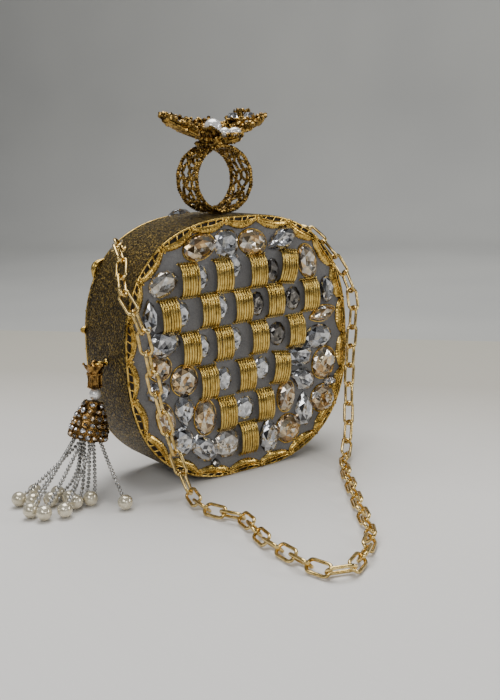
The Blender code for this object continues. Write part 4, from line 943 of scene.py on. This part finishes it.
def dress_petal(petal, sheets, lumps, dice):
    """One petal's fluted sheet, the ribs under it and the nuggets and florets on it."""
    long = petal[1] > 25
    rows = []
    for i in range(21):
        row = []
        for j in range(11):
            t = j / 5 - 1
            flute = 0.55 * MM * cos(pi * 5 * t) * (0.7 + 0.5 * (i % 2))
            edge = 1.0 + (0.12 if i % 2 else -0.06) * (abs(t) > 0.9)
            row.append(petal_point(petal, i / 20, t * edge, flute))
        rows.append(row)
    strip_solid(sheets, rows, Vector((0, 0, -PETAL_THICK)))
    for rib in (-0.8, -0.4, 0.0, 0.4, 0.8):
        # long ribs under the petal
        line = [petal_point(petal, 0.05 + 0.90 * k / 10, rib * (0.5 + 0.5 * k / 10), -1.6 * MM)
                for k in range(11)]
        sweep(lumps, line, 0.95 * MM, 7, False, None, lambda t: 1.15 - 0.45 * t)
    for k in range(20 if long else 14):
        t = -1 + 2 * (k % 2)
        s = 0.22 + 0.78 * (k // 2) / (9 if long else 6)
        lump(lumps, petal_point(petal, min(s, 1.0), t * dice.uniform(0.88, 1.04),
                                dice.uniform(-0.8, 0.8) * MM),
             dice.uniform(1.0, 1.8) * MM, dice)
    for _ in range(30 if long else 14):
        lump(lumps, petal_point(petal, dice.uniform(0.25, 1.0), dice.uniform(-0.85, 0.85), 0.9 * MM),
             dice.uniform(0.8, 1.9) * MM, dice)
    for _ in range(16 if long else 9):
        lump(lumps, petal_point(petal, dice.uniform(0.2, 0.95), dice.uniform(-0.8, 0.8), -1.8 * MM),
             dice.uniform(0.9, 1.7) * MM, dice)
    if long:
        floret(lumps, petal_point(petal, 0.97, 0.0, 1.6 * MM), 2.7 * MM, dice)
        for share, side, out in ((0.74, 0.5, 3.6), (0.50, 0.6, 3.0)):
            middle = petal_point(petal, share, dice.choice((-side, side)), out * MM)
            if not hides_pearl(middle, 4.2 * MM):
                floret(lumps, middle, 2.6 * MM, dice)
        for turn in (-0.5, 0.1, 0.6):
            # little spikes beside the outer floret
            foot = petal_point(petal, 0.80 + 0.08 * turn, turn, 1.6 * MM)
            tip = foot + Vector((dice.uniform(-1.2, 1.2), dice.uniform(-1.2, 1.2), 3.2)) * MM
            sweep(lumps, [foot, foot.lerp(tip, 0.5), tip], 0.75 * MM, 6, False, Vector((1, 0, 0)),
                  lambda t: 1.0 - 0.55 * t)
    else:
        middle = petal_point(petal, 0.88, 0.0, 1.0 * MM)
        if not hides_pearl(middle, 3.0 * MM):
            floret(lumps, middle, 2.0 * MM, dice)


def flower():
    """Fluted petals covered with nuggets and florets, and the pearls and crystals among them."""
    dice = random.Random(FLOWER_SEED)
    sheets = Shape()
    lumps = Shape()
    for petal in PETALS:
        dress_petal(petal, sheets, lumps, dice)
    centre = Vector((RING_X, 0, FLOWER_Z))
    for _ in range(MIDDLE_LUMPS):
        a = dice.uniform(0, 2 * pi)
        r = dice.uniform(2.0, 9.5) * MM
        lump(lumps, centre + Vector((r * cos(a), r * sin(a), dice.uniform(-2.8, 2.4) * MM)),
             dice.uniform(1.2, 2.2) * MM, dice)
    for x, y, size in ((3.6, -5.4, 3.0), (-2.6, -6.6, 2.4), (1.0, 6.0, 2.6)):
        ball(lumps, centre + Vector((x, y, -2.6)) * MM, size * MM, 3)
    seat = Vector((RING_X, 0, RING_Z + RING_RADIUS))
    stem = [seat + Vector((0, 0, 0.1)) * MM, seat + Vector((0, 0, 1.6)) * MM,
            centre - Vector((0, 0, 1.0)) * MM, centre + Vector((0, 0, 2.0)) * MM]
    sweep(lumps, stem, STEM, 14, False, Vector((0, 1, 0)), lambda t: 1.0 + 0.35 * t)
    sheets.piece("flower_sheets", "antique", "box", ["flower_petals"], 50)
    lumps.piece("flower_nuggets", "antique", "box", (), 35)
    flower_jewels(dice)


def flower_jewels(dice):
    """The flower's three pearls and two crystals with their settings."""
    pearls = Shape()
    ball(pearls, box_middle("flower_pearl_large"), PEARL_LARGE, 4)
    ball(pearls, box_middle("flower_pearl_small"), PEARL_SMALL, 3)
    pearls.piece("flower_pearls", "white_pearl", "box", ["flower_pearl_large", "flower_pearl_small"], 80)
    lo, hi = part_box("flower_pearl_oval")
    middle = box_middle("flower_pearl_oval")
    oval = Shape()
    ball(oval, middle, 1.0, 3, Matrix.Diagonal((hi - lo) / 2))
    oval.piece("flower_oval_pearl", "white_pearl", "box", ["flower_pearl_oval"], 80)
    bezel = Shape()
    rope(bezel, level_hoop(middle, -0.9, 4.7, 3.3, 32), SETTING_WIRE, SETTING_PITCH, True)
    for p in level_hoop(middle, -1.6, 4.9, 3.5, 8):
        ball(bezel, p, 0.9 * MM, 1)
    bezel.piece("flower_bezel", "antique")
    holders = Shape()
    gems = Shape()
    for k in (1, 2):
        middle = box_middle(f"flower_crystal_{k}") - Vector((0, 0, 1.8 * MM))
        rope(holders, level_hoop(middle, 0.074, 3.7, 3.7, 24), SETTING_WIRE, SETTING_PITCH, True)
        for p in level_hoop(middle, 0.9, 3.8, 3.8, 4, 0.5):
            nugget(holders, p, 0.95 * MM, dice)

        def place(p, middle=middle):
            return middle + Vector((p.x, p.z, p.y))

        cut_stone(gems, place, CRYSTAL, CRYSTAL, 4.0 * MM, "oval", "mirror", dice)
    holders.piece("flower_crystal_holders", "antique")
    gems.piece("flower_crystals", "stone", "box", ["flower_crystal_1", "flower_crystal_2"])


def wall_point(x):
    """Where the upper outline stands at x, and the way out of the wall there."""
    half_height = (HEIGHT + FOOT_DROP) / 2
    share = abs(x) / (WIDTH / 2)
    z = (HEIGHT - FOOT_DROP) / 2 + half_height * (1 - share ** CORNER_POWER) ** (1 / CORNER_POWER)
    across = copysign(share ** (CORNER_POWER - 1) / WIDTH, x)
    up = ((z - (HEIGHT - FOOT_DROP) / 2) / half_height) ** (CORNER_POWER - 1) / HEIGHT
    return z, Vector((across, 0, up)).normalized()


def smooth_line(points, steps=24):
    """A fine smooth line through given points."""
    line = []
    ends = [points[0]] + points + [points[-1]]
    for a, b, c, d in zip(ends, ends[1:], ends[2:], ends[3:]):
        for k in range(steps):
            t = k / steps
            line.append(0.5 * (2 * b + (c - a) * t + (2 * a - 5 * b + 4 * c - d) * t ** 2
                               + (3 * b - a - 3 * c + d) * t ** 3))
    line.append(points[-1])
    return line


def walk(line, step):
    """Points on a fine line, each a straight step from the last."""
    joints = [line[0]]
    for a, b in zip(line, line[1:]):
        while (b - joints[-1]).length >= step:
            low, high = 0.0, 1.0
            for _ in range(24):
                middle = (low + high) / 2
                if (a.lerp(b, middle) - joints[-1]).length < step:
                    low = middle
                else:
                    high = middle
            joints.append(a.lerp(b, high))
    return joints


def even_joints(points, pitch):
    """Joints along the route, with a whole number of links between its ends."""
    line = smooth_line(points)
    length = travelled(line)[-1]
    count = round(length / pitch)
    step = length / count
    for _ in range(8):
        joints = walk(line, step)[:count]
        step += ((line[-1] - joints[-1]).length - step) / count
    return joints[:count] + [line[-1]]


def link_sides(joints, ends):
    """The way across each link: a quarter turn from link to link, fitted to the eyelets at both ends."""
    along = [(b - a).normalized() for a, b in zip(joints, joints[1:])]
    count = len(along)
    middle = count // 2
    level = along[middle].cross(Vector((0, 0, 1))).normalized()
    sides = {middle: Matrix.Rotation(radians(45), 3, along[middle]) @ level}
    for step, stop in ((1, count), (-1, -1)):
        for k in range(middle + step, stop, step):
            sides[k] = along[k - step].rotation_difference(along[k]) @ sides[k - step]
    for k in range(count):
        sides[k] = Matrix.Rotation(pi / 2 * (k % 2), 3, along[k]) @ sides[k]
    for wanted, order in zip(ends, (range(count), range(count - 1, -1, -1))):
        first = order[0]
        twist = atan2(along[first].dot(sides[first].cross(wanted)), sides[first].dot(wanted))
        twist = (twist + pi / 2) % pi - pi / 2
        for n, k in enumerate(order[:FITTED_LINKS]):
            sides[k] = Matrix.Rotation(twist * (1 - n / FITTED_LINKS), 3, along[k]) @ sides[k]
    return [sides[k] for k in range(count)]


def link(shape, start, end, side):
    """A rounded link of round wire, its long way from start to end."""
    along = (end - start).normalized()
    up = along.cross(side)
    wire = LINK_WIRE / 2
    half_length = ((end - start).length + 2 * LINK_WIRE) / 2 - wire + 0.05 * MM
    half_width = LINK_WIDTH / 2 - wire
    middle = (start + end) / 2
    line = []
    for angle in turns(28, 0.5):
        c, s = cos(angle), sin(angle)
        reach = half_width * copysign(abs(c) ** 0.85, c) + copysign(half_length - half_width, c)
        line.append(middle + along * reach + side * (half_width * copysign(abs(s) ** 0.85, s)))
    sweep(shape, line, wire, 9, True, up)


def eyelet(shape, seat, out, ring, toward):
    """A small base on the wall with a ring standing out; gives the ring's middle and its axis."""
    base = [seat + out * GAP, seat + out * (GAP + EYELET_PLATE * 0.7), seat + out * (GAP + EYELET_PLATE)]
    sweep(shape, base, EYELET_BASE, 20, False, None, lambda t: 1.0 - 0.35 * t * t)
    middle = seat + out * (GAP + EYELET_PLATE / 2 + ring + EYELET_WIRE)
    side = toward - middle
    side = (side - out * side.dot(out)).normalized()
    up = out.cross(side)
    sweep(shape, hoop(middle, out * ring, side * ring, 28), EYELET_WIRE, 8, True, up)
    return middle, up


def chain():
    pitch = LINK_LENGTH - 2 * LINK_WIRE + LINK_OVERLAP
    bend = (LINK_WIDTH - LINK_WIRE) / 2
    beyond = (LINK_LENGTH - LINK_WIRE) / 2 - bend * (1 - cos(pi / LINK_STEPS)) - pitch / 2
    ends = []
    axes = []
    for (name, (x, y)), nearest in zip(CHAIN_EYELETS.items(), (CHAIN_ROUTE[0], CHAIN_ROUTE[-1])):
        z, out = wall_point(x * MM)
        rings = Shape()
        middle, axis = eyelet(rings, Vector((x * MM, y * MM, z)), out, EYELET, nearest)
        rings.piece(name + "_ring", "chain_gold", "box", [name])
        pull = (nearest - middle).normalized()
        ends.append(middle + pull * (EYELET - EYELET_WIRE - 2 * GAP - LINK_WIRE / 2 + beyond))
        axes.append(axis)
    joints = even_joints([ends[0]] + CHAIN_ROUTE + [ends[1]], pitch)
    sides = link_sides(joints, axes)
    links = Shape()
    for a, b, side in zip(joints, joints[1:], sides):
        link(links, a, b, side)
    piece = links.piece("chain_links", "chain_gold", "box", ["chain"])
    length = travelled(joints)[-1]
    tuple(joints[0])
    [tuple(p) for p in joints]


def lathe(shape, profile, place, steps=40, shift=None):
    """A profile of (radius, distance down) turned round an axis; shift bends it with the angle."""
    rings = []
    for i, (r, down) in enumerate(profile):
        rings.append([place(*(shift(i, a, r, down) if shift else (r, down)), a) for a in turns(steps)])
    tube(shape, rings)


def around(top, axis):
    """Gives a function for points at a radius, a distance down the axis from top, and an angle round it."""
    turn = Vector((0, 0, -1)).rotation_difference(axis).to_matrix()
    return lambda r, down, a: top + turn @ Vector((r * cos(a), r * sin(a), -down))


def strand_points(start, axis, pearl_middle, long):
    """A strand's points: out of the cap, then down and along the table to its pearl."""
    first = start + axis * CAP_RECESS
    ground = Vector((pearl_middle.x - first.x, pearl_middle.y - first.y, 0))
    if long:
        bend = (first + pearl_middle) / 2 - Vector((0, 0, STRAND))
        back = (bend - pearl_middle).normalized()
    else:
        bend = first + ground * 0.25
        bend.z = -3 * STRAND
        back = -ground.normalized() - Vector((0, 0, 0.2))
        back.normalize()
    last = pearl_middle + back * (END_PEARL + GAP)
    points = [start]
    for k in range(33):
        t = k / 32
        points.append(first * (1 - t) ** 2 + bend * 2 * t * (1 - t) + last * t ** 2)
    return points


def tassel_crown(crown_top, loop_middle, lean):
    """The loop in the eyelet and the crimped crown under it."""
    crown = Shape()
    sweep(crown, hoop(loop_middle, Vector((LOOP, 0, 0)), Vector((0, 0, LOOP)), 24), LOOP_WIRE, 8, True,
          Vector((0, 1, 0)))
    r = CROWN_RADIUS
    long = CROWN_LENGTH
    profile = [(r * 0.10, 0.2 * MM), (r * 0.45, 0.3 * MM), (r * 0.80, -0.4 * MM), (r, -1.2 * MM),
               (r * 0.97, 0.2 * MM), (r * 0.80, 1.6 * MM), (r * 0.66, 3.2 * MM), (r * 0.70, 4.0 * MM),
               (r * 0.62, 4.8 * MM), (r * 0.60, long * 0.6), (r * 0.60, long * 0.82), (r * 0.70, long * 0.88),
               (r * 0.66, long * 0.96), (r * 0.40, long)]

    def crimp(i, a, rr, dd):
        if 2 <= i <= 4:
            return rr * (1 + 0.17 * cos(5 * a)), dd - 1.1 * MM * max(0.0, cos(5 * a))
        if 8 <= i <= 10:
            return rr * (1 - 0.16 * max(0.0, cos(6 * a)) ** 0.5), dd
        return rr, dd

    at = around(crown_top, lean)
    lathe(crown, profile, at, 60, crimp)
    for a in turns(CROWN_POINTS):
        ball(crown, at(r * 1.16, -2.0 * MM, a), 0.8 * MM)
    for a in turns(CROWN_RIBS, 0.5):
        rib = [at(r * wide, long * down, a)
               for down, wide in ((0.22, 0.80), (0.34, 0.70), (0.60, 0.64), (0.90, 0.70))]
        sweep(crown, rib, 0.55 * MM, 6)
    for down, wide in ((0.30, 0.74), (0.93, 0.70)):
        rope(crown, [at(r * wide, long * down, a) for a in turns(30)], SETTING_WIRE, SETTING_PITCH, True)
    crown.piece("tassel_crown_dress", "bronze", "tassel", ["tassel_crown"], 40)


def tassel_cap(cap_top, axis):
    """The bell-shaped cap, with rows of cut stones held by claws."""
    cap = Shape()
    r = CAP_RADIUS
    long = CAP_LENGTH
    bell = [(r * 0.36, 0.1 * MM), (r * 0.46, 0.5 * MM), (r * 0.56, long * 0.16), (r * 0.72, long * 0.34),
            (r * 0.86, long * 0.52), (r * 0.95, long * 0.70), (r, long * 0.85), (r * 1.0, long * 0.93),
            (r * 0.96, long), (r * 0.86, long), (r * 0.86, CAP_CEILING), (r * 0.10, CAP_CEILING)]
    at = around(cap_top, axis)
    lathe(cap, bell, at, 48)
    cups = Shape()
    gems = Shape()
    dice = random.Random(CAP_SEED)
    outer = bell[:8]
    for row, (share, count) in enumerate(CAP_ROWS):
        down = long * share
        for (r0, d0), (r1, d1) in zip(outer, outer[1:]):
            if d0 <= down <= d1:
                break
        part = (down - d0) / (d1 - d0)
        rr = r0 + (r1 - r0) * part
        tilt = atan2(r1 - r0, d1 - d0)
        for a in turns(count, 0.5 * (row % 2)):
            base = at(rr, down, a)
            across = (at(1, 0, a + pi / 2) - at(0, 0, a)).normalized()
            level = (at(1, 0, a) - at(0, 0, a)).normalized()
            away = level * cos(tilt) - axis * sin(tilt)
            up = away.cross(across)

            def place(p, base=base, away=away, across=across, up=up):
                return base + across * p.x + away * (p.y + 0.1 * MM) + up * p.z

            size = dice.uniform(2.4, 3.7) * MM
            tall = size * dice.uniform(0.7, 1.0)
            tint = dice.choice(("mirror", "mirror", "mirror", "smoke", "gold"))
            cut_stone(gems, place, size, tall, dice.uniform(0.9, 1.5) * MM, "oval", tint, dice, 8)
            nugget(cups, place(Vector((size * 0.62, 0.3 * MM, tall * dice.uniform(-0.6, 0.6)))),
                   dice.uniform(0.5, 1.0) * MM, dice)
            ring = [place(Vector((cos(b) * size * 0.56, 0.25 * MM, sin(b) * size * 0.56))) for b in turns(10)]
            sweep(cups, ring, 0.28 * MM, 5, True)
            for b in (0.8, 2.36, 3.93, 5.5):
                claw = Vector((cos(b) * size * 0.60, 0.55 * MM, sin(b) * size * 0.60))
                ball(cups, place(claw), 0.32 * MM, 1)
    rope(cups, [at(r * 0.95, long - 0.3 * MM, a) for a in turns(48)], 0.45 * MM, 2.2 * MM, True)
    cap.piece("tassel_cap_dress", "bronze", "tassel", ["tassel_cap"], 40)
    cups.piece("tassel_cap_cups", "bronze", "tassel")
    gems.piece("tassel_cap_stones", "stone", "tassel")


def tassel_strands(cap_top, axis):
    """Strands of beads out of the cap's mouth, each with a pearl at its end."""
    mouth = cap_top + axis * (CAP_CEILING + GAP)
    aside = Vector((0, 1, 0))
    across = axis.cross(aside).normalized()
    for group, (ends, radius, spread) in enumerate(((LONG_STRANDS, LONG_START, LONG_SPREAD),
                                                    (SHORT_STRANDS, SHORT_START, SHORT_SPREAD))):
        for k, (reach, bearing) in enumerate(ends):
            number = group * len(LONG_STRANDS) + k + 1
            angle = radians(STRAND_AIM + (k - (len(ends) - 1) / 2) * spread)
            start = mouth + (across * cos(angle) + aside * sin(angle)) * radius
            turned = radians(bearing)
            end = Vector((cap_top.x + axis.x * CAP_LENGTH + reach * MM * cos(turned),
                          TASSEL_Y + reach * MM * sin(turned), END_PEARL + LOW))
            points = strand_points(start, axis, end, group == 0)
            beads = Shape()
            length = travelled(points)[-1]
            spots = spaced(points, max(1, round(length / BEAD_PITCH)))
            for a, b in zip(spots, spots[1:]):
                way = (b - a).normalized()
                spin = Vector((0, 0, 1)).rotation_difference(way).to_matrix() @ Matrix.Diagonal((1, 1, 0.92))
                ball(beads, (a + b) / 2, STRAND / 2 * BEAD_FILL, 2, spin)
            strand = beads.piece(f"tassel_beads_{number:02d}", "bead", "tassel",
                                 [f"tassel_strand_{number:02d}"])
            pearl = Shape()
            ball(pearl, end, END_PEARL, 4)
            way = (points[-1] - end).normalized()
            ball(pearl, end + way * (END_PEARL - 0.1 * MM), END_TIP)
            tip = pearl.piece(f"tassel_pearl_{number:02d}", "pearl", "tassel",
                              [f"tassel_end_pearl_{number:02d}"], 80)
            [tuple(p) for p in points]


def tassel():
    seat = Vector((-WIDTH / 2, TASSEL_Y, TASSEL_Z))
    out = Vector((-1, 0, 0))
    ahead = seat + Vector((0, WIDTH, 0))
    rings = Shape()
    pivot = eyelet(rings, seat, out, TASSEL_EYELET, ahead)[0] + out * TASSEL_EYELET
    rings.piece("tassel_eyelet_ring", "gold", "box", ["tassel_eyelet"])
    loop_middle = pivot - Vector((0, 0, LOOP - LOOP_WIRE - EYELET_WIRE - GAP))
    lean = Vector((-sin(TASSEL_LEAN), 0, -cos(TASSEL_LEAN)))
    crown_top = loop_middle + lean * (LOOP - LOOP_WIRE / 2)
    tassel_crown(crown_top, loop_middle, lean)
    pearl_middle = crown_top + lean * (CROWN_LENGTH + GAP + TASSEL_PEARL)
    pearl = Shape()
    ball(pearl, pearl_middle, TASSEL_PEARL, 3)
    pearl.piece("tassel_neck_pearl", "white_pearl", "tassel", ["tassel_pearl"], 80)
    axis = Vector((-sin(CAP_LEAN), 0, -cos(CAP_LEAN)))
    cap_top = pearl_middle + axis * (TASSEL_PEARL + GAP)
    tassel_cap(cap_top, axis)
    tassel_strands(cap_top, axis)


def dress_nodes():
    for look, names in NODE_LOOKS.items():
        for name in names:
            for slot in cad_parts[name].material_slots:
                slot.material = LOOKS[look].material


def stage():
    """A pale table whose far edge meets a grey wall."""
    cloth = Look("table", (0.74, 0.70, 0.64), 0.9)
    ahead = Vector((0.805, 0.593, 0))
    aside = Vector((0.593, -0.805, 0))
    # The table's colour runs from pale in front to darker behind the bag and towards its far edge: painted
    # shade
    table = cloth.ramp(cloth.along(ahead, -0.30, TABLE_END),
                       [(0.0, (0.75, 0.735, 0.71)), (0.40, (0.72, 0.70, 0.665)), (0.75, (0.44, 0.415, 0.36)),
                        (1.0, (0.42, 0.40, 0.34))])
    cloth.into(table)
    cloth.bump(cloth.noise(26, 3.0, 0.55, 0.4, (1, 0.25, 1)), 0.006, 0.25)
    cloth.bump(cloth.noise(900, 2.0, 0.5, 0.0, (1, 0.2, 1)), 0.0002, 0.3)
    wall = Look("backdrop", (0.36, 0.36, 0.35), 0.95)
    wall.blend(wall.noise(3, 2.0), (0.42, 0.42, 0.405), (0.48, 0.48, 0.455))
    rows = [(-STAGE_REACH, 0.0), (TABLE_END, 0.0), (TABLE_END + TABLE_LIP, -TABLE_LIP),
            (COVE_START, -TABLE_LIP)]
    for k in range(1, 9):
        a = pi / 2 * k / 8
        rows.append((COVE_START + COVE * sin(a), COVE * (1 - cos(a)) - TABLE_LIP))
    rows.append((COVE_START + COVE, WALL_TOP))
    verts = []
    for depth, z in rows:
        for across in (-STAGE_REACH, STAGE_REACH):
            verts.append(tuple(ahead * depth + aside * across + Vector((0, 0, z))))
    faces = [(2 * k, 2 * k + 1, 2 * k + 3, 2 * k + 2) for k in range(len(rows) - 1)]
    data = bpy.data.meshes.new("floor")
    data.from_pydata(verts, [], faces)
    data.materials.append(cloth.material)
    data.materials.append(wall.material)
    for face in data.polygons:
        face.material_index = 0 if face.index < 1 else 1
        face.use_smooth = face.index > 1
    obj = bpy.data.objects.new("floor", data)
    bpy.context.scene.collection.objects.link(obj)


def lamp(name, place, target, size, power):
    data = bpy.data.lights.new(name, "AREA")
    data.shape = "RECTANGLE"
    data.size, data.size_y = size
    data.energy = power
    obj = bpy.data.objects.new(name, data)
    bpy.context.scene.collection.objects.link(obj)
    aim = (Vector(target) - Vector(place)).normalized()
    turn = Vector((0, 0, -1)).rotation_difference(aim)
    obj.matrix_world = Matrix.Translation(place) @ turn.to_matrix().to_4x4()


def lights():
    """A room of dark and bright patches, with a lamp above, two at the sides and a low one in front."""
    world = bpy.data.worlds.new("world")
    world.use_nodes = True
    tree = world.node_tree
    room = tree.nodes.new("ShaderNodeTexCoord")
    patches = tree.nodes.new("ShaderNodeTexNoise")
    patches.inputs["Scale"].default_value = 1.9
    patches.inputs["Detail"].default_value = 1.0
    shade = tree.nodes.new("ShaderNodeValToRGB")
    for stop, place, colour in zip(shade.color_ramp.elements, (0.42, 0.62),
                                   ((0.050, 0.048, 0.045, 1.0), (0.42, 0.43, 0.45, 1.0))):
        stop.position = place
        stop.color = colour
    tree.links.new(room.outputs["Generated"], patches.inputs["Vector"])
    tree.links.new(patches.outputs["Fac"], shade.inputs["Fac"])
    tree.links.new(shade.outputs["Color"], tree.nodes["Background"].inputs["Color"])
    bpy.context.scene.world = world
    for name, place, target, size, power in (
            ("top", (0.15, 0.25, 1.25), (0, 0, 0.05), (1.0, 1.0), 19),
            ("window", (-1.0, -0.75, 0.95), (0, 0, 0.07), (0.45, 0.75), 6),
            ("right", (1.0, -0.75, 0.55), (0, 0, 0.08), (0.20, 0.7), 4),
            ("low_front", (-0.25, -1.25, 0.45), (0, 0, 0.09), (0.5, 0.14), 1.6)):
        lamp(name, place, target, size, power)


camera()
chain()
tassel()
wrap()
face_jewels(-1, "front", "box", "front_face", 0.0)
face_jewels(1, "back", "lid", "lid_face", LID_FLOOR)
leaf_border(-1, "front", "box", "front_border", 0.0)
leaf_border(1, "back", "lid", "lid_border", LID_FLOOR)
side_lumps()
ring_handle()
flower()
dress_nodes()
stage()
lights()
